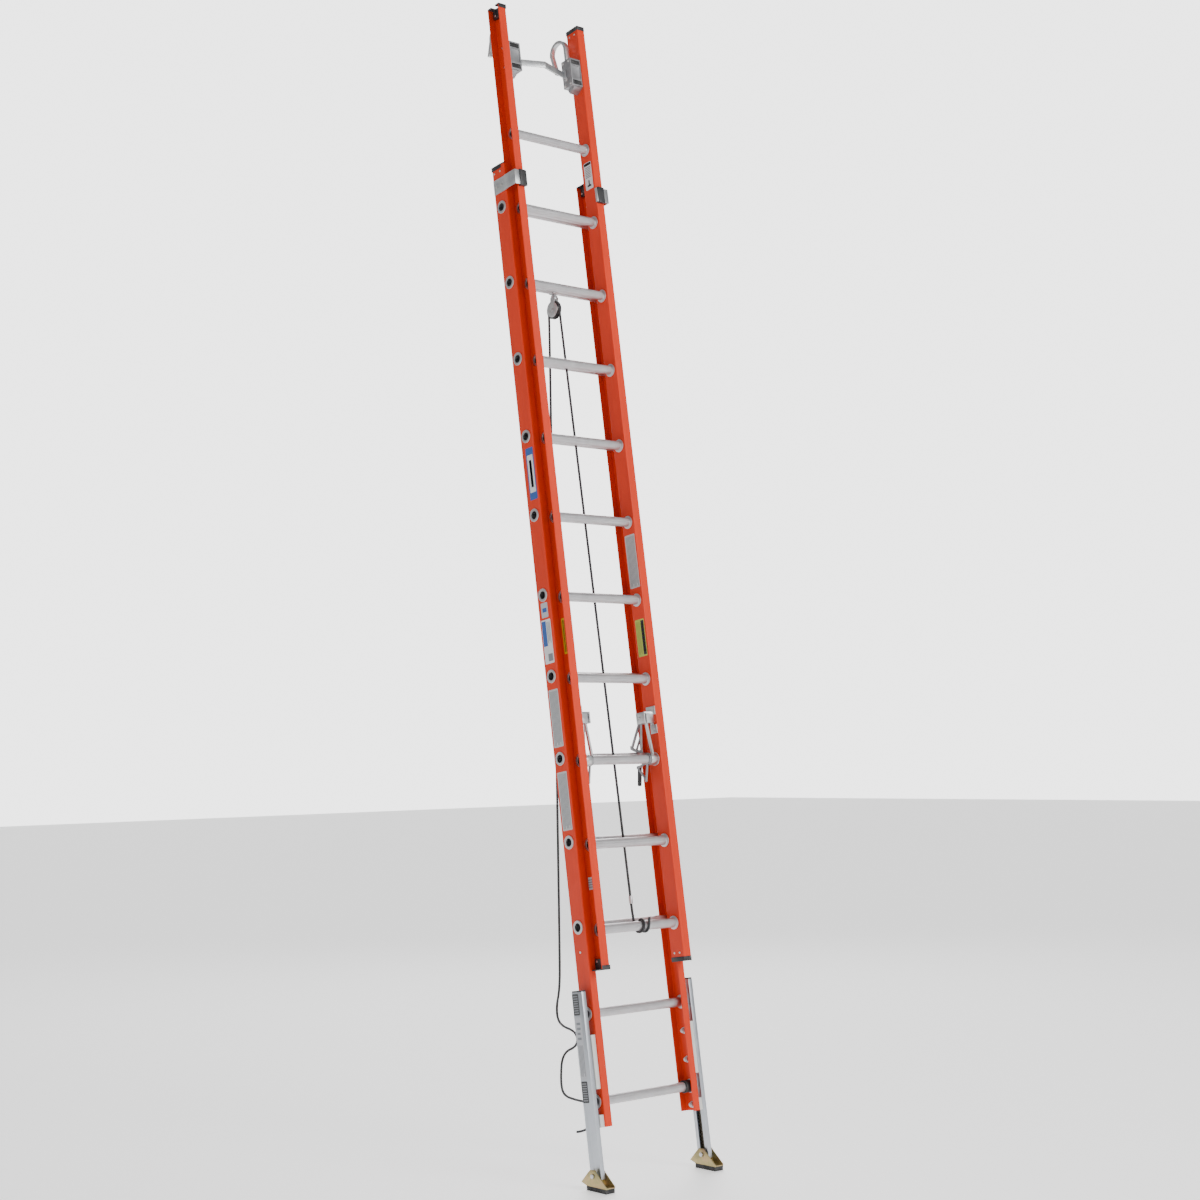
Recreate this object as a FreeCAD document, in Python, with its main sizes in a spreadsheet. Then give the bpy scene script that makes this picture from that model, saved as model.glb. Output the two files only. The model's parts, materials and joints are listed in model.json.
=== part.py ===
import FreeCAD, Part
import Sketcher
import math
import os
from FreeCAD import Placement, Rotation, Vector

doc = FreeCAD.newDocument("ExtensionLadder")

# ---------------------------------------------------------------- driving dimensions, in mm and degrees
# The ladder is drawn in its own frame: X across, Y from front to back, Z along the rails,
# with the axis of the lowest base rung on the X axis. One placement then leans it on its feet.
SIZES = {
    "pitch": 304.8,          # rung to rung
    "leanAngle": 8.0,        # from plumb
    "floorToRung": 298.0,    # floor to the axis of the lowest base rung
    "standBack": 254.2,      # from the lowest rung axis back to the middle of the stance
    "rungRadius": 17.5,
    "rungBore": 15.5,
    "beadRadius": 25.0,      # swaged bead each side of a rail web
    "beadThick": 3.0,
    "baseHalf": 228.6,       # middle of the ladder to the outer face of a base web
    "baseDepth": 72.0,
    "baseFlange": 30.0,
    "baseWall": 4.0,
    "baseTail": 88.0,        # rail below the lowest rung
    "baseHead": 167.0,       # rail above the highest rung
    "flyHalf": 181.0,        # middle of the ladder to the inner face of a fly web
    "flyDepth": 68.0,
    "flyFlange": 36.0,
    "flyWall": 3.5,
    "flyTail": 138.0,
    "flyHead": 516.0,
    "flyForward": 60.0,      # fly rung axes in front of the base rung axes
    "flyDrop": 16.0,         # fly rung axes below the base rung axes when locked
    "capThick": 5.0,
    "rivetRadius": 2.5,
    "ropeRadius": 4.75,
    "sheavePitch": 31.0,     # rope centre line on the pulley
    "legInner": 250.0,       # middle of the ladder to the slotted face of a leveler leg
    "legThick": 18.0,
    "legDepth": 56.0,
    "legWall": 4.0,
    "legTop": 384.0,
    "pivotHeight": 52.0,     # shoe pivot above the floor
    "shoeMiddle": 262.0,
    "shoeWidth": 41.0,
    "padThick": 16.0,
    "padFront": 70.0,        # pad ends, from the shoe pivot
    "padRear": 34.0,
    "hookX": 154.0,          # middle of the ladder to a cable hook
    "hookReach": 43.0,       # radius of the middle line of a cable hook
    "lockX": 141.0,          # middle of the ladder to a rung lock plate
    "lockThick": 6.0,
}
BASE_RUNGS = 12
FLY_RUNGS = 11
FLY_OFFSET = 2               # the lowest fly rung stands beside the third base rung
LOCK_RUNG = 3                # fly rung that carries the rung locks
PULLEY_RUNG = 11             # base rung that carries the pulley
GAP = 0.3                    # between faces that pass each other
FIT = 0.05                   # between a pin and its bore

sheet = doc.addObject("Spreadsheet::Sheet", "Sizes")
for row, (alias, value) in enumerate(SIZES.items(), start=1):
    sheet.set("A%d" % row, alias)
    sheet.set("B%d" % row, str(value))
    sheet.setAlias("B%d" % row, alias)
doc.recompute()


class Size:
    """A number together with the spreadsheet expression that gives it."""

    def __init__(self, value, text):
        self.value = value
        self.text = text

    def __add__(self, other):
        return Size(self.value + number(other), "(%s + %s)" % (self.text, words(other)))

    def __sub__(self, other):
        return Size(self.value - number(other), "(%s - %s)" % (self.text, words(other)))

    def __mul__(self, other):
        return Size(self.value * number(other), "(%s * %s)" % (self.text, words(other)))

    def __truediv__(self, other):
        return Size(self.value / number(other), "(%s / %s)" % (self.text, words(other)))

    def __rsub__(self, other):
        return Size(number(other) - self.value, "(%s - %s)" % (words(other), self.text))

    def __neg__(self):
        return Size(-self.value, "(-1 * %s)" % self.text)

    __radd__ = __add__
    __rmul__ = __mul__


def number(thing):
    return thing.value if isinstance(thing, Size) else float(thing)


def words(thing):
    return thing.text if isinstance(thing, Size) else "(%.6f)" % thing


D = {alias: Size(value, "Sizes.%s" % alias) for alias, value in SIZES.items()}


def stated(alias):
    """The number in the sheet now."""
    return float(sheet.get(alias))


def bind(obj, prop, thing):
    if isinstance(thing, Size):
        obj.setExpression(prop, thing.text)


def place(obj, corner, rotation=Rotation()):
    obj.Placement = Placement(Vector(*[number(c) for c in corner]), rotation)
    for letter, thing in zip("xyz", corner):
        bind(obj, "Placement.Base." + letter, thing)


TURN = {
    "X": Rotation(Vector(0, 1, 0), 90),
    "Y": Rotation(Vector(1, 0, 0), -90),
    "Z": Rotation(),
}


def span(low, high):
    """Middle and length of a stretch."""
    return (low + high) / 2, high - low


def block(name, x, y, z):
    """A box from three (low, high) stretches."""
    box = doc.addObject("Part::Box", name)
    for prop, (low, high) in zip(("Length", "Width", "Height"), (x, y, z)):
        setattr(box, prop, number(high - low))
        bind(box, prop, high - low)
    place(box, (x[0], y[0], z[0]))
    return box


def sided(side, low, high):
    """The stretch from low to high, measured outward from the middle on one side."""
    return (low, high) if side > 0 else (-high if isinstance(high, Size) else -high, -low)


def rod(name, centre, radius, length, axis="X"):
    """A cylinder with its middle at centre."""
    cylinder = doc.addObject("Part::Cylinder", name)
    cylinder.Radius = number(radius)
    cylinder.Height = number(length)
    bind(cylinder, "Radius", radius)
    bind(cylinder, "Height", length)
    start = list(centre)
    index = "XYZ".index(axis)
    start[index] = centre[index] - length / 2
    place(cylinder, start, TURN[axis])
    return cylinder


def bar(name, x, start, end, wide):
    """A flat bar in the YZ plane, wide across, from start to end, both (y, z)."""
    dy, dz = number(end[0]) - number(start[0]), number(end[1]) - number(start[1])
    box = doc.addObject("Part::Box", name)
    box.Length = number(x[1] - x[0])
    bind(box, "Length", x[1] - x[0])
    box.Width = math.hypot(dy, dz)
    box.Height = wide
    turn = Rotation(Vector(1, 0, 0), math.degrees(math.atan2(dz, dy)))
    shift = turn.multVec(Vector(0, 0, -wide / 2))
    place(box, (x[0], start[0] + shift.y, start[1] + shift.z), turn)
    return box


def fuse(name, parts):
    union = doc.addObject("Part::MultiFuse", name)
    union.Shapes = parts
    union.Refine = True
    return union


def group(name, parts):
    compound = doc.addObject("Part::Compound", name)
    compound.Links = parts
    return compound


def cut(name, base, tools):
    result = doc.addObject("Part::Cut", name)
    result.Base = base
    result.Tool = tools[0] if len(tools) == 1 else group(name + "_tools", tools)
    result.Refine = True
    return result


def outline(body, plane, points):
    """A closed sketch of straight lines on one of the body's own planes."""
    sketch = body.newObject("Sketcher::SketchObject", body.Name + "_sketch")
    support = [f for f in body.Origin.OriginFeatures if f.Role == plane][0]
    sketch.AttachmentSupport = (support, [""])
    sketch.MapMode = "FlatFace"
    count = len(points)
    flat = [Vector(number(u), number(v), 0) for u, v in points]
    for i in range(count):
        sketch.addGeometry(Part.LineSegment(flat[i], flat[(i + 1) % count]), False)
    for i in range(count):
        sketch.addConstraint(Sketcher.Constraint("Coincident", i, 2, (i + 1) % count, 1))
    for i, point in enumerate(points):
        for kind, axis, coordinate in (("DistanceX", -2, point[0]), ("DistanceY", -1, point[1])):
            if number(coordinate) == 0:
                sketch.addConstraint(Sketcher.Constraint("PointOnObject", i, 1, axis))
                continue
            index = sketch.addConstraint(
                Sketcher.Constraint(kind, -1, 1, i, 1, number(coordinate)))
            bind(sketch, "Constraints[%d]" % index, coordinate)
    return sketch


def padded(name, plane, points, length, corner=(0, 0, 0), rounds=()):
    """A body padded from an outline. rounds holds (radius, test of an edge) pairs."""
    body = doc.addObject("PartDesign::Body", name)
    sketch = outline(body, plane, points)
    pad = body.newObject("PartDesign::Pad", name + "_pad")
    pad.Profile = sketch
    pad.Length = number(length)
    bind(pad, "Length", length)
    sketch.Visibility = False
    doc.recompute()
    last = pad
    for index, (radius, chosen) in enumerate(rounds):
        edges = ["Edge%d" % (i + 1) for i, e in enumerate(last.Shape.Edges) if chosen(e)]
        fillet = body.newObject("PartDesign::Fillet", "%s_round%d" % (name, index))
        fillet.Base = (last, edges)
        fillet.Radius = radius
        doc.recompute()
        last = fillet
    place(body, corner)
    return body


# ---------------------------------------------------------------- finished pieces
NODES = []


def lean(piece, label):
    """Gives a finished piece its name and leans it back with the ladder."""
    piece.Label = label
    piece.Placement = Placement(Vector(0, -SIZES["standBack"], SIZES["floorToRung"]),
                                Rotation(Vector(-1, 0, 0), SIZES["leanAngle"]))
    bind(piece, "Placement.Base.y", -D["standBack"])
    bind(piece, "Placement.Base.z", D["floorToRung"])
    bind(piece, "Placement.Rotation.Angle", D["leanAngle"])
    NODES.append(piece)


def leaned(name, parts):
    """A sub-part made of the given solids, leaned back with the ladder."""
    piece = group(name + "_set", parts)
    lean(piece, name)
    return piece


SIDES = (("left", -1), ("right", 1))


def baseRungZ(n):
    return D["pitch"] * (n - 1)


def flyRungZ(n):
    return D["pitch"] * (n - 1 + FLY_OFFSET) - D["flyDrop"]


# ---------------------------------------------------------------- rungs
def rung(name, y, z, inner, wall, tail):
    """One tube, swaged to a bead on each side of both rail webs."""
    outer = inner + wall
    length = 2 * (outer + tail)
    parts = [rod(name + "_tube", (0, y, z), D["rungRadius"], length)]
    for side, sign in SIDES:
        for where, edge in (("in", inner - D["beadThick"] / 2), ("out", outer + D["beadThick"] / 2)):
            parts.append(rod("%s_%s_%s" % (name, side, where), (sign * edge, y, z),
                             D["beadRadius"], D["beadThick"]))
    solid = fuse(name + "_solid", parts)
    bore = rod(name + "_bore", (0, y, z), D["rungBore"], length + 2)
    return cut(name, solid, [bore])


baseInner = D["baseHalf"] - D["baseWall"]
flyFront = -D["flyForward"] - D["flyDepth"] / 2
flyRear = -D["flyForward"] + D["flyDepth"] / 2
flyOuter = D["flyHalf"] + D["flyWall"]

baseRungs = [rung("baseRung%02d" % n, 0, baseRungZ(n), baseInner, D["baseWall"], D["beadThick"])
             for n in range(1, BASE_RUNGS + 1)]
flyRungs = [rung("flyRung%02d" % n, -D["flyForward"], flyRungZ(n), D["flyHalf"], D["flyWall"],
                 D["beadThick"]) for n in range(1, FLY_RUNGS + 1)]
for kind, rungs in (("base", baseRungs), ("fly", flyRungs)):
    for first in range(0, len(rungs), 3):
        few = rungs[first:first + 3]
        leaned("%s_rungs_%02d_%02d" % (kind, first + 1, first + len(few)), few)

# rubber sleeves on the lowest rung, where a boot lands
sleeves = []
for side, sign in SIDES:
    middle, length = span(D["baseHalf"] - 41, baseInner - D["beadThick"])
    sleeve = rod("sleeve_%s_skin" % side, (sign * middle, 0, 0), D["rungRadius"] + 5, length)
    hole = rod("sleeve_%s_hole" % side, (sign * middle, 0, 0), D["rungRadius"], length + 2)
    sleeves.append(cut("sleeve_" + side, sleeve, [hole]))
leaned("rung_sleeves", sleeves)


# ---------------------------------------------------------------- rails
def upright(edge):
    return abs(edge.BoundBox.ZLength) > 100


def rail(name, sign, web, flange, wall, depth, inward, middle, bottom, top, holes):
    """A pultruded channel. inward is 1 where the flanges point at the middle of the ladder."""
    tip = web - flange * inward if inward > 0 else web + flange
    face = web - wall * inward if inward > 0 else web + wall
    near, far = middle - depth / 2, middle + depth / 2
    points = [(web, near), (tip, near), (tip, near + wall), (face, near + wall),
              (face, far - wall), (tip, far - wall), (tip, far), (web, far)]
    points = [(sign * u, v) for u, v in points]
    corner = abs(number(web))

    def outside(edge):
        return upright(edge) and abs(abs(edge.BoundBox.XMin) - corner) < 0.01

    def inside(edge):
        return upright(edge) and abs(abs(edge.BoundBox.XMin) - abs(number(face))) < 0.01

    channel = padded(name + "_channel", "XY_Plane", points, top - bottom, (0, 0, bottom),
                     ((3.0, outside), (2.5, inside)))
    result = cut(name + "_cut", channel, holes)
    lean(result, name)
    return result


def drilled(name, sign, x, places, radius):
    """Round tools across a web, at the given (y, z) places."""
    low, high = x
    middle, length = span(low - 3, high + 3)
    return [rod("%s_hole%d" % (name, i), (sign * middle, y, z), radius, length)
            for i, (y, z) in enumerate(places)]


baseTop = baseRungZ(BASE_RUNGS) + D["baseHead"]
baseBottom = -D["baseTail"]
flyTop = flyRungZ(FLY_RUNGS) + D["flyHead"]
flyBottom = flyRungZ(1) - D["flyTail"]

GUIDE_BOLTS = (200.0, 96.0, -67.0)          # leveler bolts, along the rail
guideZ = (baseTop - 110, baseTop - 52)      # rail guide bracket near the top of the base
baseRivets = [(y, baseTop - 24) for y in (-12.0, 23.0)]
baseRivets += [(y, (guideZ[0] + guideZ[1]) / 2) for y in (-14.0, 16.0)]
baseRivets += [(2.0, D["pitch"] * 1.71)]
HOOK_RIVETS = (-160.0, -240.0)              # cable hook block rivets, down from the top
lockZ = flyRungZ(LOCK_RUNG)
flyRivets = [(-D["flyForward"] + y, flyTop - 25) for y in (-15.0, 15.0)]
flyRivets += [(-52.0, flyTop + z) for z in HOOK_RIVETS]
flyRivets += [(-80.0, lockZ + 181), (-80.0, lockZ + 110)]
flyRivets += [(-D["flyForward"] + y, flyBottom + 27) for y in (-14.0, 14.0)]

for side, sign in SIDES:
    web = (baseInner, D["baseHalf"])
    holes = drilled("baseRung_" + side, sign, web, [(0, baseRungZ(n)) for n in range(1, BASE_RUNGS + 1)],
                    D["rungRadius"])
    holes += drilled("baseRivet_" + side, sign, web, baseRivets, D["rivetRadius"])
    holes += drilled("baseBolt_" + side, sign, web, [(0, z) for z in GUIDE_BOLTS], 5.0)
    rail("base_rail_" + side, sign, D["baseHalf"], D["baseFlange"], D["baseWall"], D["baseDepth"], 1,
         0, baseBottom, baseTop, holes)
    web = (D["flyHalf"], flyOuter)
    holes = drilled("flyRung_" + side, sign, web,
                    [(-D["flyForward"], flyRungZ(n)) for n in range(1, FLY_RUNGS + 1)], D["rungRadius"])
    holes += drilled("flyRivet_" + side, sign, web, flyRivets, D["rivetRadius"])
    rail("fly_rail_" + side, sign, D["flyHalf"], D["flyFlange"], D["flyWall"], D["flyDepth"], -1,
         -D["flyForward"], flyBottom, flyTop, holes)


# ---------------------------------------------------------------- end caps
CORNER = 3.0                                # a plug stays clear of the rounds inside a rail
flyX = (D["flyHalf"], D["flyHalf"] + D["flyFlange"])
flyY = (flyFront, flyRear)
plugX = (flyOuter, D["flyHalf"] + 16)
plugY = (flyFront + D["flyWall"] + CORNER, flyRear - D["flyWall"] - CORNER)
basePlugX = (baseInner - 12, baseInner)
capThick = D["capThick"]
baseLid = (baseTop, baseTop + capThick)
footLid = (flyBottom - capThick, flyBottom)
baseFlangeFront = -D["baseDepth"] / 2
PASS = 1.0                                  # round the base flange that slides through a foot cap
SKIRT, LAP = 1.5, 12.0                      # the skirt of a cap outside the rail, and how far it laps over
topSkirtZ = (flyTop - LAP, flyTop + capThick)
footSkirtZ = (flyBottom - capThick, flyBottom + LAP)
baseSkirtZ = (baseTop - LAP, baseTop + capThick)
skirtX = (D["flyHalf"] - SKIRT, D["flyHalf"] + D["flyFlange"])


def flySkirt(z):
    """Two walls outside a fly rail's end. The rear face stays bare, because it leans on the wall."""
    return [((D["flyHalf"] - SKIRT, D["flyHalf"]), flyY, z), (skirtX, (flyFront - SKIRT, flyFront), z)]


CAPS = {
    # the front edge of the base cap stays clear of the fly flange that slides past it
    "base_top_caps": (baseRivets[:2], basePlugX, [
        ((D["baseHalf"] - D["baseFlange"], D["baseHalf"]), (-20.0, D["baseDepth"] / 2), baseLid),
        ((baseInner - 4, D["baseHalf"]), (baseFlangeFront, -19.0), baseLid),
        (basePlugX, (-20.0, D["baseDepth"] / 2 - D["baseWall"] - CORNER), (baseTop - 36, baseTop)),
        ((D["baseHalf"], D["baseHalf"] + SKIRT), (-20.0, D["baseDepth"] / 2), baseSkirtZ),
        ((D["baseHalf"] - D["baseFlange"], D["baseHalf"] + SKIRT),
         (D["baseDepth"] / 2, D["baseDepth"] / 2 + SKIRT), baseSkirtZ)],
        None),
    "fly_top_caps": (flyRivets[:2], plugX, [
        (flyX, flyY, (flyTop, flyTop + capThick)),
        (plugX, plugY, (flyTop - 36, flyTop))] + flySkirt(topSkirtZ),
        ((D["flyHalf"] + 13, D["flyHalf"] + D["flyFlange"] + 1),
         (-D["flyForward"] - 13, -D["flyForward"] + 13), (flyTop - 26, flyTop + 10))),
    "fly_foot_caps": (flyRivets[-2:], plugX, [
        (flyX, flyY, footLid),
        (plugX, plugY, (flyBottom, flyBottom + 36))] + flySkirt(footSkirtZ),
        ((D["baseHalf"] - D["baseFlange"] - PASS, D["flyHalf"] + D["flyFlange"] + 1),
         (baseFlangeFront - PASS, baseFlangeFront + D["baseWall"] + PASS),
         (flyBottom - capThick - 1, flyBottom + 1))),
}
for label, (places, reach, boxes, mouth) in CAPS.items():
    pair = []
    for side, sign in SIDES:
        name = label + "_" + side
        solid = fuse(name + "_solid", [block("%s_part%d" % (name, i), sided(sign, *x), y, z)
                                       for i, (x, y, z) in enumerate(boxes)])
        tools = drilled(name, sign, reach, places, D["rivetRadius"])
        if mouth:
            tools.append(block(name + "_mouth", sided(sign, *mouth[0]), mouth[1], mouth[2]))
        pair.append(cut(name, solid, tools))
    leaned(label, pair)

# ---------------------------------------------------------------- rail guide brackets at the top of the base
brackets, pads = [], []
PAD_SLACK = 0.6                             # between a pad and the fly rail that slides behind it
padFace = flyFront - PAD_SLACK
strapRear = padFace - 7.4
strapFront = strapRear - 3
coverFront = strapFront - 4
joggle = D["baseHalf"] + 6                  # outer face of the strap in front of its joggle
padX = (D["flyHalf"] + 1, D["flyHalf"] + 31)
cheekX = (D["baseHalf"], D["baseHalf"] + 3)
for side, sign in SIDES:
    name = "guide_" + side
    parts = [block(name + "_cheek", sided(sign, *cheekX), (-46.0, 32.0), guideZ),
             block(name + "_step", sided(sign, D["baseHalf"], joggle), (-49.0, -43.0), guideZ),
             block(name + "_flank", sided(sign, cheekX[1], joggle), (strapFront, -44.0), guideZ),
             block(name + "_strap", sided(sign, D["flyHalf"] - 4, joggle), (strapFront, strapRear), guideZ),
             block(name + "_lip", sided(sign, D["flyHalf"] - 4, D["flyHalf"] - 1),
                   (strapFront, flyFront + 0.5), guideZ)]
    brackets.append(cut(name, fuse(name + "_solid", parts),
                        drilled(name, sign, cheekX, baseRivets[2:4], D["rivetRadius"])))
    parts = [block(name + "_cover", sided(sign, D["flyHalf"] - 1.5, padX[1]), (coverFront, strapFront),
                   guideZ),
             block(name + "_slider", sided(sign, *padX), (strapRear, padFace), guideZ)]
    parts += [block("%s_end%d" % (name, i), sided(sign, *padX), (coverFront, padFace), z)
              for i, z in enumerate(((guideZ[0] - 3, guideZ[0]), (guideZ[1], guideZ[1] + 3)))]
    pads.append(fuse(name + "_pad", parts))
leaned("guide_brackets", brackets)
leaned("guide_pads", pads)

# ---------------------------------------------------------------- cable hooks, their blocks and the V rung
blockTop, blockBottom = flyTop - 143, flyTop - 258
blockX = (D["flyHalf"] - 54, D["flyHalf"])
blockY = (flyFront + 4, flyRear - 10)
shankY = -44.5
hookRise = flyTop - 80                      # centre of the hook's bend
hookTip = hookRise - 72
SPLAY = 18.0                                # how far a hook's free leg leans outward
SHANK = 5.0
for side, sign in SIDES:
    body = block("hookBlock_%s_body" % side, sided(sign, *blockX), blockY, (blockBottom, blockTop))
    toe = bar("hookBlock_%s_toe" % side, sided(sign, D["flyHalf"] - 40, D["flyHalf"]),
              (number(blockY[0]) + 8, blockBottom + 4), (number(blockY[1]) - 12, blockBottom - 14), 16.0)
    solid = fuse("hookBlock_%s_solid" % side, [body, toe])
    socket = rod("hookBlock_%s_socket" % side, (sign * D["hookX"], shankY, blockTop - 60),
                 SHANK + 0.05, 140.0, "Z")
    drills = [rod("hookBlock_%s_drill%d" % (side, i), (sign * (D["flyHalf"] - 6), y, z), D["rivetRadius"],
                  16.0) for i, (y, z) in enumerate(flyRivets[2:4])]
    relief = [block("hookBlock_%s_relief%d" % (side, i), sided(sign, D["flyHalf"] - 48, D["flyHalf"] - 5),
                    (blockY[0] - 1, blockY[0] + 3), (blockBottom + low, blockBottom + high))
              for i, (low, high) in enumerate(((6.0, 24.0), (32.0, 86.0), (92.0, 109.0)))]
    lean(cut("hookBlock_" + side, solid, [socket] + drills + relief), "hook_block_" + side)

    half = 9.0
    thick = 12.0
    void = rod("hook_%s_void" % side, (sign * D["hookX"], shankY + D["hookReach"], hookRise),
               D["hookReach"] - thick / 2, 2 * half + 2)
    below = block("hook_%s_below" % side, sided(sign, D["hookX"] - 12, D["hookX"] + 12),
                  (shankY - 12, shankY + 2 * D["hookReach"] + 12), (hookRise - 70, hookRise))
    arch = rod("hook_%s_ring" % side, (sign * D["hookX"], shankY + D["hookReach"], hookRise),
               D["hookReach"] + thick / 2, 2 * half)
    arch = cut("hook_%s_arch" % side, arch, [void, below])
    x = sided(sign, D["hookX"] - half, D["hookX"] + half)
    leg = [(D["hookX"] - half, hookRise), (D["hookX"] + half, hookRise),
           (D["hookX"] + half + SPLAY, hookTip), (D["hookX"] - half + SPLAY, hookTip)]
    rear = padded("hook_%s_rear" % side, "XZ_Plane", [(sign * u, v) for u, v in leg], thick,
                  (0, shankY + 2 * D["hookReach"] + thick / 2, 0))
    neck = block("hook_%s_neck" % side, x, (shankY - thick / 2, shankY + thick / 2),
                 (blockTop + 1, hookRise))
    shank = rod("hook_%s_shank" % side, (sign * D["hookX"], shankY, blockTop - 50), SHANK, 110.0, "Z")
    lean(fuse("hook_" + side, [arch, rear, neck, shank]), "cable_hook_" + side)

vTop, vBottom = flyTop - 187, flyTop - 213
vEnd, vRear, vDip = blockX[0], -40.0, 39.0


def vee(name, reach, rear, front, z):
    """A V band, open to the back, between y = front and rear at its ends."""
    dip = vDip * reach.value / vEnd.value
    points = [(-reach, front), (0, front - dip), (reach, front), (reach, rear), (0, rear - dip),
              (-reach, rear)]
    return padded(name, "XY_Plane", points, z[1] - z[0], (0, 0, z[0]))


strap = vee("vStrap", vEnd, vRear, vRear - 5.5, (vBottom, vTop))
tabs = [block("vTab_" + side, sided(sign, vEnd - 4, vEnd), (-60.0, -38.0), (vBottom - 4, vTop + 4))
        for side, sign in SIDES]
lean(fuse("vRung", [strap] + tabs), "v_rung")
inset = 30.0
gripRear = vRear - vDip * inset / vEnd.value
leaned("v_rung_grip", [vee("vGrip", vEnd - inset, gripRear + 6, gripRear, (vBottom + 3, vTop - 3))])

# ---------------------------------------------------------------- rung locks
pivotY, pivotZ = -50.0, lockZ + 157
saddle = 131.4                              # from the lock pivot to the face that rests on a base rung
lockPins = []
for side, sign in SIDES:
    plateX = sided(sign, D["lockX"] - D["lockThick"] / 2, D["lockX"] + D["lockThick"] / 2)
    webX = sided(sign, D["flyHalf"] - 3, D["flyHalf"])
    parts = [block("lock_%s_ear1" % side, webX, (-92.0, -44.0), (lockZ + 165, lockZ + 197)),
             block("lock_%s_ear2" % side, webX, (-92.0, -58.0), (lockZ + 94, lockZ + 127)),
             block("lock_%s_strip" % side, webX, (-76.0, -60.0), (lockZ + 94, lockZ + 197)),
             block("lock_%s_box" % side, sided(sign, D["flyHalf"] - 48, D["flyHalf"]), (-80.0, -34.0),
                   (lockZ + 134, lockZ + 176))]
    arm = bar("lock_%s_arm" % side, sided(sign, D["flyHalf"] - 34.5, D["flyHalf"] - 28), (-66.0, pivotZ - 12),
              (-84.0, lockZ + 14), 11.0)
    collar, collarLength = span(D["flyHalf"] - 34.5, D["flyHalf"] - 5)
    hub = rod("lock_%s_hub" % side, (sign * collar, -D["flyForward"], lockZ), 23.0, collarLength)
    solid = fuse("lock_%s_solid" % side, parts + [arm, hub])
    slot = block("lock_%s_slot" % side, (plateX[0] - 0.5, plateX[1] + 0.5), (-82.0, -32.0),
                 (lockZ + 132, lockZ + 170))
    tools = [slot,
             rod("lock_%s_eye" % side, (sign * collar, -D["flyForward"], lockZ),
                 D["rungRadius"] + FIT, collarLength + 2),
             rod("lock_%s_pinHole" % side, (sign * D["lockX"], pivotY, pivotZ), 4.0, 30.0)]
    tools += [rod("lock_%s_drill%d" % (side, i), (sign * (D["flyHalf"] - 2), y, z), D["rivetRadius"], 8.0)
              for i, (y, z) in enumerate(flyRivets[4:6])]
    lean(cut("lockBracket_" + side, solid, tools), "lock_bracket_" + side)
    lockPins.append(rod("lockPin_" + side, (sign * D["lockX"], pivotY, pivotZ), 4.0, 24.0))

    # the swinging hook: its lower face is an arc about its own pivot, so it can leave a loaded rung
    rim = rod("catch_%s_rim" % side, (sign * D["lockX"], pivotY, pivotZ), saddle, D["lockThick"])
    core = rod("catch_%s_core" % side, (sign * D["lockX"], pivotY, pivotZ), saddle - 11, 8.0)
    keep = block("catch_%s_keep" % side, (plateX[0] - 2, plateX[1] + 2), (-40.0, 24.0),
                 (pivotZ - 135, pivotZ - 90))
    ring = cut("catch_%s_ring" % side, rim, [core])
    foot = doc.addObject("Part::MultiCommon", "catch_%s_foot" % side)
    foot.Shapes = [ring, keep]
    parts = [foot, rod("catch_%s_eye" % side, (sign * D["lockX"], pivotY, pivotZ), 11.0, D["lockThick"]),
             bar("catch_%s_back" % side, plateX, (pivotY, pivotZ - 2), (18.0, pivotZ - 107), 9.0),
             bar("catch_%s_front" % side, plateX, (pivotY, pivotZ - 2), (-34.0, pivotZ - 123), 9.0),
             bar("catch_%s_brace" % side, plateX, (-44.0, pivotZ - 60), (-6.0, pivotZ - 118), 6.0)]
    hook = fuse("catch_%s_solid" % side, parts)
    lean(cut("catch_" + side, hook,
             [rod("catch_%s_bore" % side, (sign * D["lockX"], pivotY, pivotZ), 4.05, 12.0)]),
         "lock_hook_" + side)

    # the lever below hangs from the fly rung and carries the finger
    hubPlace = (sign * D["lockX"], -D["flyForward"], lockZ)
    leverTip = (-43.0, lockZ - 79)
    fingerY, fingerZ = -6.0, lockZ - 25
    parts = [rod("lever_%s_hub" % side, hubPlace, 22.0, D["lockThick"]),
             bar("lever_%s_top" % side, plateX, (-46.0, lockZ - 15), (fingerY, fingerZ), 8.0),
             bar("lever_%s_back" % side, plateX, (fingerY, fingerZ), leverTip, 7.0),
             bar("lever_%s_front" % side, plateX, (-58.0, lockZ - 19), leverTip, 7.0),
             rod("lever_%s_tip" % side, (sign * D["lockX"], *leverTip), 5.0, D["lockThick"]),
             rod("lever_%s_boss" % side, (sign * D["lockX"], fingerY, fingerZ), 7.0, D["lockThick"])]
    stub = rod("lever_%s_stub" % side, (sign * (D["lockX"] + 8.0), fingerY, fingerZ), 3.0, 11.0)
    lever = fuse("lever_%s_solid" % side, parts + [stub])
    lean(cut("lever_" + side, lever,
             [rod("lever_%s_bore" % side, hubPlace, D["rungRadius"] + FIT, 12.0)]), "lock_lever_" + side)

    fingerX = sided(sign, D["lockX"] + 3.5, D["lockX"] + 11.5)
    parts = [rod("finger_%s_eye" % side, (sign * (D["lockX"] + 7.5), fingerY, fingerZ), 8.0, 8.0),
             bar("finger_%s_blade" % side, fingerX, (fingerY, fingerZ), (5.0, lockZ - 84), 15.0),
             rod("finger_%s_end" % side, (sign * (D["lockX"] + 7.5), 5.4, lockZ - 86), 7.5, 8.0)]
    finger = fuse("finger_%s_solid" % side, parts)
    lean(cut("finger_" + side, finger,
             [rod("finger_%s_bore" % side, (sign * (D["lockX"] + 7.5), fingerY, fingerZ), 3.05, 12.0)]),
         "lock_finger_" + side)
leaned("lock_pins", lockPins)


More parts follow.
